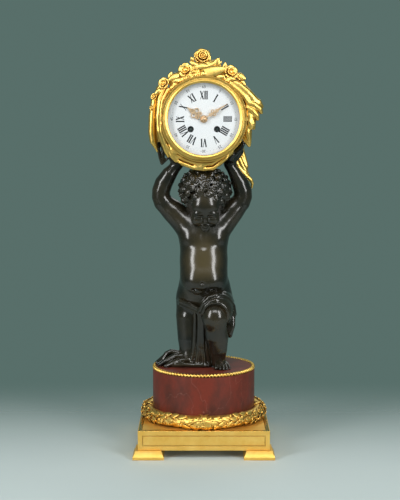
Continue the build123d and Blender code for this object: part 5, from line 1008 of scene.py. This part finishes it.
def crest_bed():
    """Leafy bed on the rim of the case: a lumpy round moulding that thins towards both ends."""
    turn = np.radians(np.linspace(42, 152, BED_LINES))[:, None]
    around = round_angles(BED_ROUND)[None, :]
    taper = np.sin(pi * np.linspace(0, 1, BED_LINES)[:, None]) ** 0.35
    lumps = BED_TUBE + 1.1 * np.sin(23 * turn) * np.cos(2 * around) + 0.8 * np.sin(41 * turn + around)
    tube = taper * lumps
    reach = BED_REACH + tube * np.cos(around)
    depth = BED_DEPTH + 1.15 * tube * np.sin(around)
    height = CLOCK_AXIS + reach * np.sin(turn)
    return grid_shape(points_of(reach * np.cos(turn), depth, height), round_columns=True)


crest = new_mesh("crest", *gather(crest_bed(), *crest_shapes), chased_gilt)
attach(crest, "clock_frame")
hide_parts("floral_crest")
# Mound under the flowers, cast with the bed
mound = Wax((-56, -46, 502), (56, -10, 556), MOUND_GRAIN)
mound.roll([(-44, -30, 517, 6), (-30, -29, 526, 8), (-14, -28, 534, 8.6), (-2, -27, 537, 9),
            (12, -28, 535, 8.6), (28, -29, 528, 8), (42, -30, 519, 6)], BAND_BLEND)
mound.roll([(-2, -26, 536, 7), (-2, -22, 548, 6)], BAND_BLEND)
mound.cast("crest_mound", chased_gilt, "gilt_bronze")

# Dial: white enamel on copper, slightly glossy, with fired black numerals: Roman hours,
# small minute figures every five minutes and a dot for each minute between.
DIAL_FACE = -40.0
INK_RISE = 0.06
HOUR_FOOT = 27.0
HOUR_TALL = 11.6
HOUR_NARROW = 0.82
MINUTE_RING = 44.0
MINUTE_TALL = 4.0
TYPE_SIZE = 1.35
DOT_RING = 44.6
DOT_RADIUS = 0.38
BROAD = 0.19
FINE = 0.085
SERIF = 0.045
SERIF_WIDTH = 0.28
LETTERS = {
    "I": (((0.13, 0.13, BROAD),), 0.28),
    "V": (((0.34, 0.12, BROAD), (0.34, 0.56, FINE)), 0.66),
    "X": (((0.54, 0.12, BROAD), (0.12, 0.54, FINE)), 0.66),
}
ENAMEL = (0.88, 0.89, 0.90)
ENAMEL_CLOUD = (0.83, 0.85, 0.88)
INK = (0.004, 0.004, 0.006)
INK_THIN = (0.02, 0.02, 0.025)
ROMAN = ("XII", "I", "II", "III", "IIII", "V", "VI", "VII", "VIII", "IX", "X", "XI")


def white_enamel():
    """Fired enamel: cool white with the faintest clouding and a soft glaze."""
    material, tree, shader, place = new_material(
        "white_enamel", roughness=0.24, coat_weight=0.5, coat_roughness=0.08
    )
    tone = colour_steps(tree, noise(tree, place, scale=22.0, detail=4.0), (0.3, ENAMEL_CLOUD), (0.7, ENAMEL))
    ripple = noise(tree, place, scale=60.0, detail=2.0)
    plug(tree, shader, base_color=tone, normal=bump(tree, ripple, strength=0.04, depth=0.2))
    return material


def dial_black():
    """Fired black: matt, a little grey where the enamel shows through."""
    material, tree, shader, place = new_material("dial_black", roughness=0.4)
    tone = colour_steps(tree, noise(tree, place, scale=900.0, detail=2.0), (0.35, INK), (0.8, INK_THIN))
    plug(tree, shader, base_color=tone)
    return material


def stroke(foot, head, width):
    """Flat stroke between two points of the dial, as four corners."""
    foot, head = np.array(foot, float), np.array(head, float)
    across = np.array([width / 2, 0.0])
    return np.array([foot - across, foot + across, head + across, head - across])


def roman_letter(letter, left):
    """Strokes of one letter from its left edge, one unit tall, and its width; only an I has serifs."""
    lines, width = LETTERS[letter]
    bars = [stroke((left + foot, 0), (left + top, 1), broad) for foot, top, broad in lines]
    if letter == "I":
        middle = left + lines[0][0]
        bars += [stroke((middle, level), (middle, level + SERIF), SERIF_WIDTH) for level in (0, 1 - SERIF)]
    return bars, width


ink = []
for hour, word in enumerate(ROMAN):
    bars, left = [], 0.0
    for letter in word:
        strokes, width = roman_letter(letter, left)
        bars += strokes
        left += width
    bars = np.array(bars)
    bars[..., 0] = (bars[..., 0] - left / 2) * HOUR_TALL * HOUR_NARROW
    bars[..., 1] = HOUR_FOOT + bars[..., 1] * HOUR_TALL
    turn = 2 * pi * hour / 12
    ink.append(bars @ np.array([[cos(turn), -sin(turn)], [sin(turn), cos(turn)]]))
ink = np.concatenate(ink).reshape(-1, 2)
minute = np.arange(60)
minute = minute[minute % 5 != 0]
minute_turn = 2 * pi * minute / 60
dot = round_angles(4)
dots = points_of(
    DOT_RING * np.sin(minute_turn)[:, None] + DOT_RADIUS * np.cos(dot),
    DOT_RING * np.cos(minute_turn)[:, None] + DOT_RADIUS * np.sin(dot),
)
flat = np.concatenate([ink, dots.reshape(-1, 2)])
ink_points = points_of(flat[:, 0], DIAL_FACE - INK_RISE, CLOCK_AXIS + flat[:, 1])
black = dial_black()
numerals = new_mesh("dial_numerals", ink_points, np.arange(len(ink_points)).reshape(-1, 4), black)
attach(numerals, "clock_frame")
dress(white_enamel(), "enamel_dial")
for index in range(1, 13):
    text = bpy.data.curves.new("minute_figure", "FONT")
    text.body = str(5 * index)
    text.size = MINUTE_TALL * TYPE_SIZE * MM
    text.align_x = "CENTER"
    text.align_y = "CENTER"
    letters = bpy.data.objects.new("minute_figure", text)
    bpy.context.scene.collection.objects.link(letters)
    bpy.context.view_layer.update()
    mesh = bpy.data.meshes.new_from_object(letters.evaluated_get(bpy.context.evaluated_depsgraph_get()))
    bpy.data.objects.remove(letters)
    corners = np.zeros(len(mesh.vertices) * 3)
    mesh.vertices.foreach_get("co", corners)
    corners = corners.reshape(-1, 3)
    turn = 2 * pi * index / 12
    across = corners[:, 0]
    up = MINUTE_RING * MM + corners[:, 1]
    placed = points_of(
        across * cos(turn) + up * sin(turn),
        (DIAL_FACE - INK_RISE) * MM,
        CLOCK_AXIS * MM - across * sin(turn) + up * cos(turn),
    )
    mesh.vertices.foreach_set("co", placed.ravel())
    mesh.materials.append(black)
    mesh.update()
    figure = bpy.data.objects.new(f"minute_figure_{5 * index}", mesh)
    bpy.context.scene.collection.objects.link(figure)
    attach(figure, "clock_frame")

# Winding holes: painted shade, a black ring in each hole in the dial round the square of its arbor, standing
# for the dark inside of the movement.
# The rings stay just below the face of the enamel.
WINDING_PLACES = ((-18.2, -13.9), (18.2, -13.9))
SHADE_RING_OUT = 4.38
SHADE_RING_IN = 2.3
SHADE_RING_FRONT = -39.6
SHADE_RING_BACK = -38.5
SHADE_RING_SLOPE = 0.6
SHADE_RING_LINES = 32


def winding_hole_shade(x, z):
    """Ring about one winding arbor; its section has four corners, the inner front one set back."""
    turn = round_angles(SHADE_RING_LINES)[:, None]
    reach = np.array([[SHADE_RING_OUT, SHADE_RING_IN, SHADE_RING_IN, SHADE_RING_OUT]])
    depth = np.array([[SHADE_RING_FRONT, SHADE_RING_FRONT + SHADE_RING_SLOPE, SHADE_RING_BACK, SHADE_RING_BACK]])
    height = CLOCK_AXIS + z + reach * np.sin(turn)
    return grid_shape(points_of(x + reach * np.cos(turn), depth, height), True, True)


hole_shades = new_mesh("winding_hole_shades", *gather(*[winding_hole_shade(x, z) for x, z in WINDING_PLACES]), black)
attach(hole_shades, "clock_frame")

# Hands: sawn from sheet, pierced and gilt, the hour hand on the hour wheel's pipe and the minute hand
# on the cannon pinion, held by a domed nut.
# The first hand tone is the painted shade in the hands' recesses.
HAND_TONES = ((0.62, 0.34, 0.17), (0.93, 0.60, 0.34), (0.98, 0.74, 0.50))
hand_gilt = gilt_finish("hand_gilt", roughness=0.45, matting=0.05, recess=0.6, tones=HAND_TONES)
dress(hand_gilt, "hour_hand", "minute_hand", "hand_nut")

# Movement: two brass plates with the going and strike trains between them, steel arbors and screws,
# a bell on its post behind the back plate.
BRASS = (0.62, 0.40, 0.12)
BRASS_PALE = (0.80, 0.58, 0.24)
STEEL = (0.22, 0.23, 0.25)
STEEL_PALE = (0.42, 0.42, 0.43)
BRASS_PIECES = (
    "dial_plate", "front_plate", "back_plate", "movement_straps", "going_barrel", "strike_barrel",
    "second_wheel", "centre_wheel", "third_wheel", "escape_wheel", "suspension_cock", "pendulum_bob",
    "cannon_pinion", "minute_wheel", "hour_wheel", "pin_wheel", "count_wheel", "fly", "bell", "stud_nuts",
    "hinge_pins",
)
STEEL_PIECES = (
    "going_arbor", "strike_arbor", "anchor", "pendulum_rod", "hammer", "bell_post", "figure_studs",
    "foot_screws",
)


def turned_metal(name, colour, pale, roughness):
    """Turned or planished metal: stretched noise gives fine tool lines, broad noise a tarnish."""
    material, tree, shader, place = new_material(name, metallic=1.0)
    tone = colour_steps(tree, noise(tree, place, scale=70.0, detail=5.0), (0.3, colour), (0.75, pale))
    stretch = add_node(tree, "Mapping", {"Vector": place, "Scale": (900.0, 900.0, 60.0)})
    lines = noise(tree, stretch.outputs["Vector"], scale=1.0, detail=3.0)
    rough = rescale(tree, lines, (0, 1), (roughness - 0.08, roughness + 0.1))
    plug(tree, shader, base_color=tone, roughness=rough, normal=bump(tree, lines, strength=0.08, depth=0.1))
    return material


brass = turned_metal("lacquered_brass", BRASS, BRASS_PALE, roughness=0.26)
steel = turned_metal("grey_steel", STEEL, STEEL_PALE, roughness=0.28)
dress(brass, *BRASS_PIECES)
dress(steel, *STEEL_PIECES)

# Front bezel and glass: a gilt ring hinged at the left, holding a domed glass; the back door is a
# pierced gilt disc hinged at the right.
bright_gilt = gilt_finish("bright_gilt", roughness=0.36, matting=0.02, recess=1)
dress(bright_gilt, "front_bezel", "back_door")


def clear_glass():
    """Thin clear glass: mostly see-through, with a sharp gloss that a broad noise makes a little uneven."""
    material, tree, shader, place = new_material("clear_glass", base_color=(0.02, 0.03, 0.03, 1), alpha=0.06)
    haze = noise(tree, place, scale=25.0, detail=2.0)
    plug(tree, shader, roughness=rescale(tree, haze, (0, 1), (0.02, 0.06)))
    return material


dress(clear_glass(), "bezel_glass")
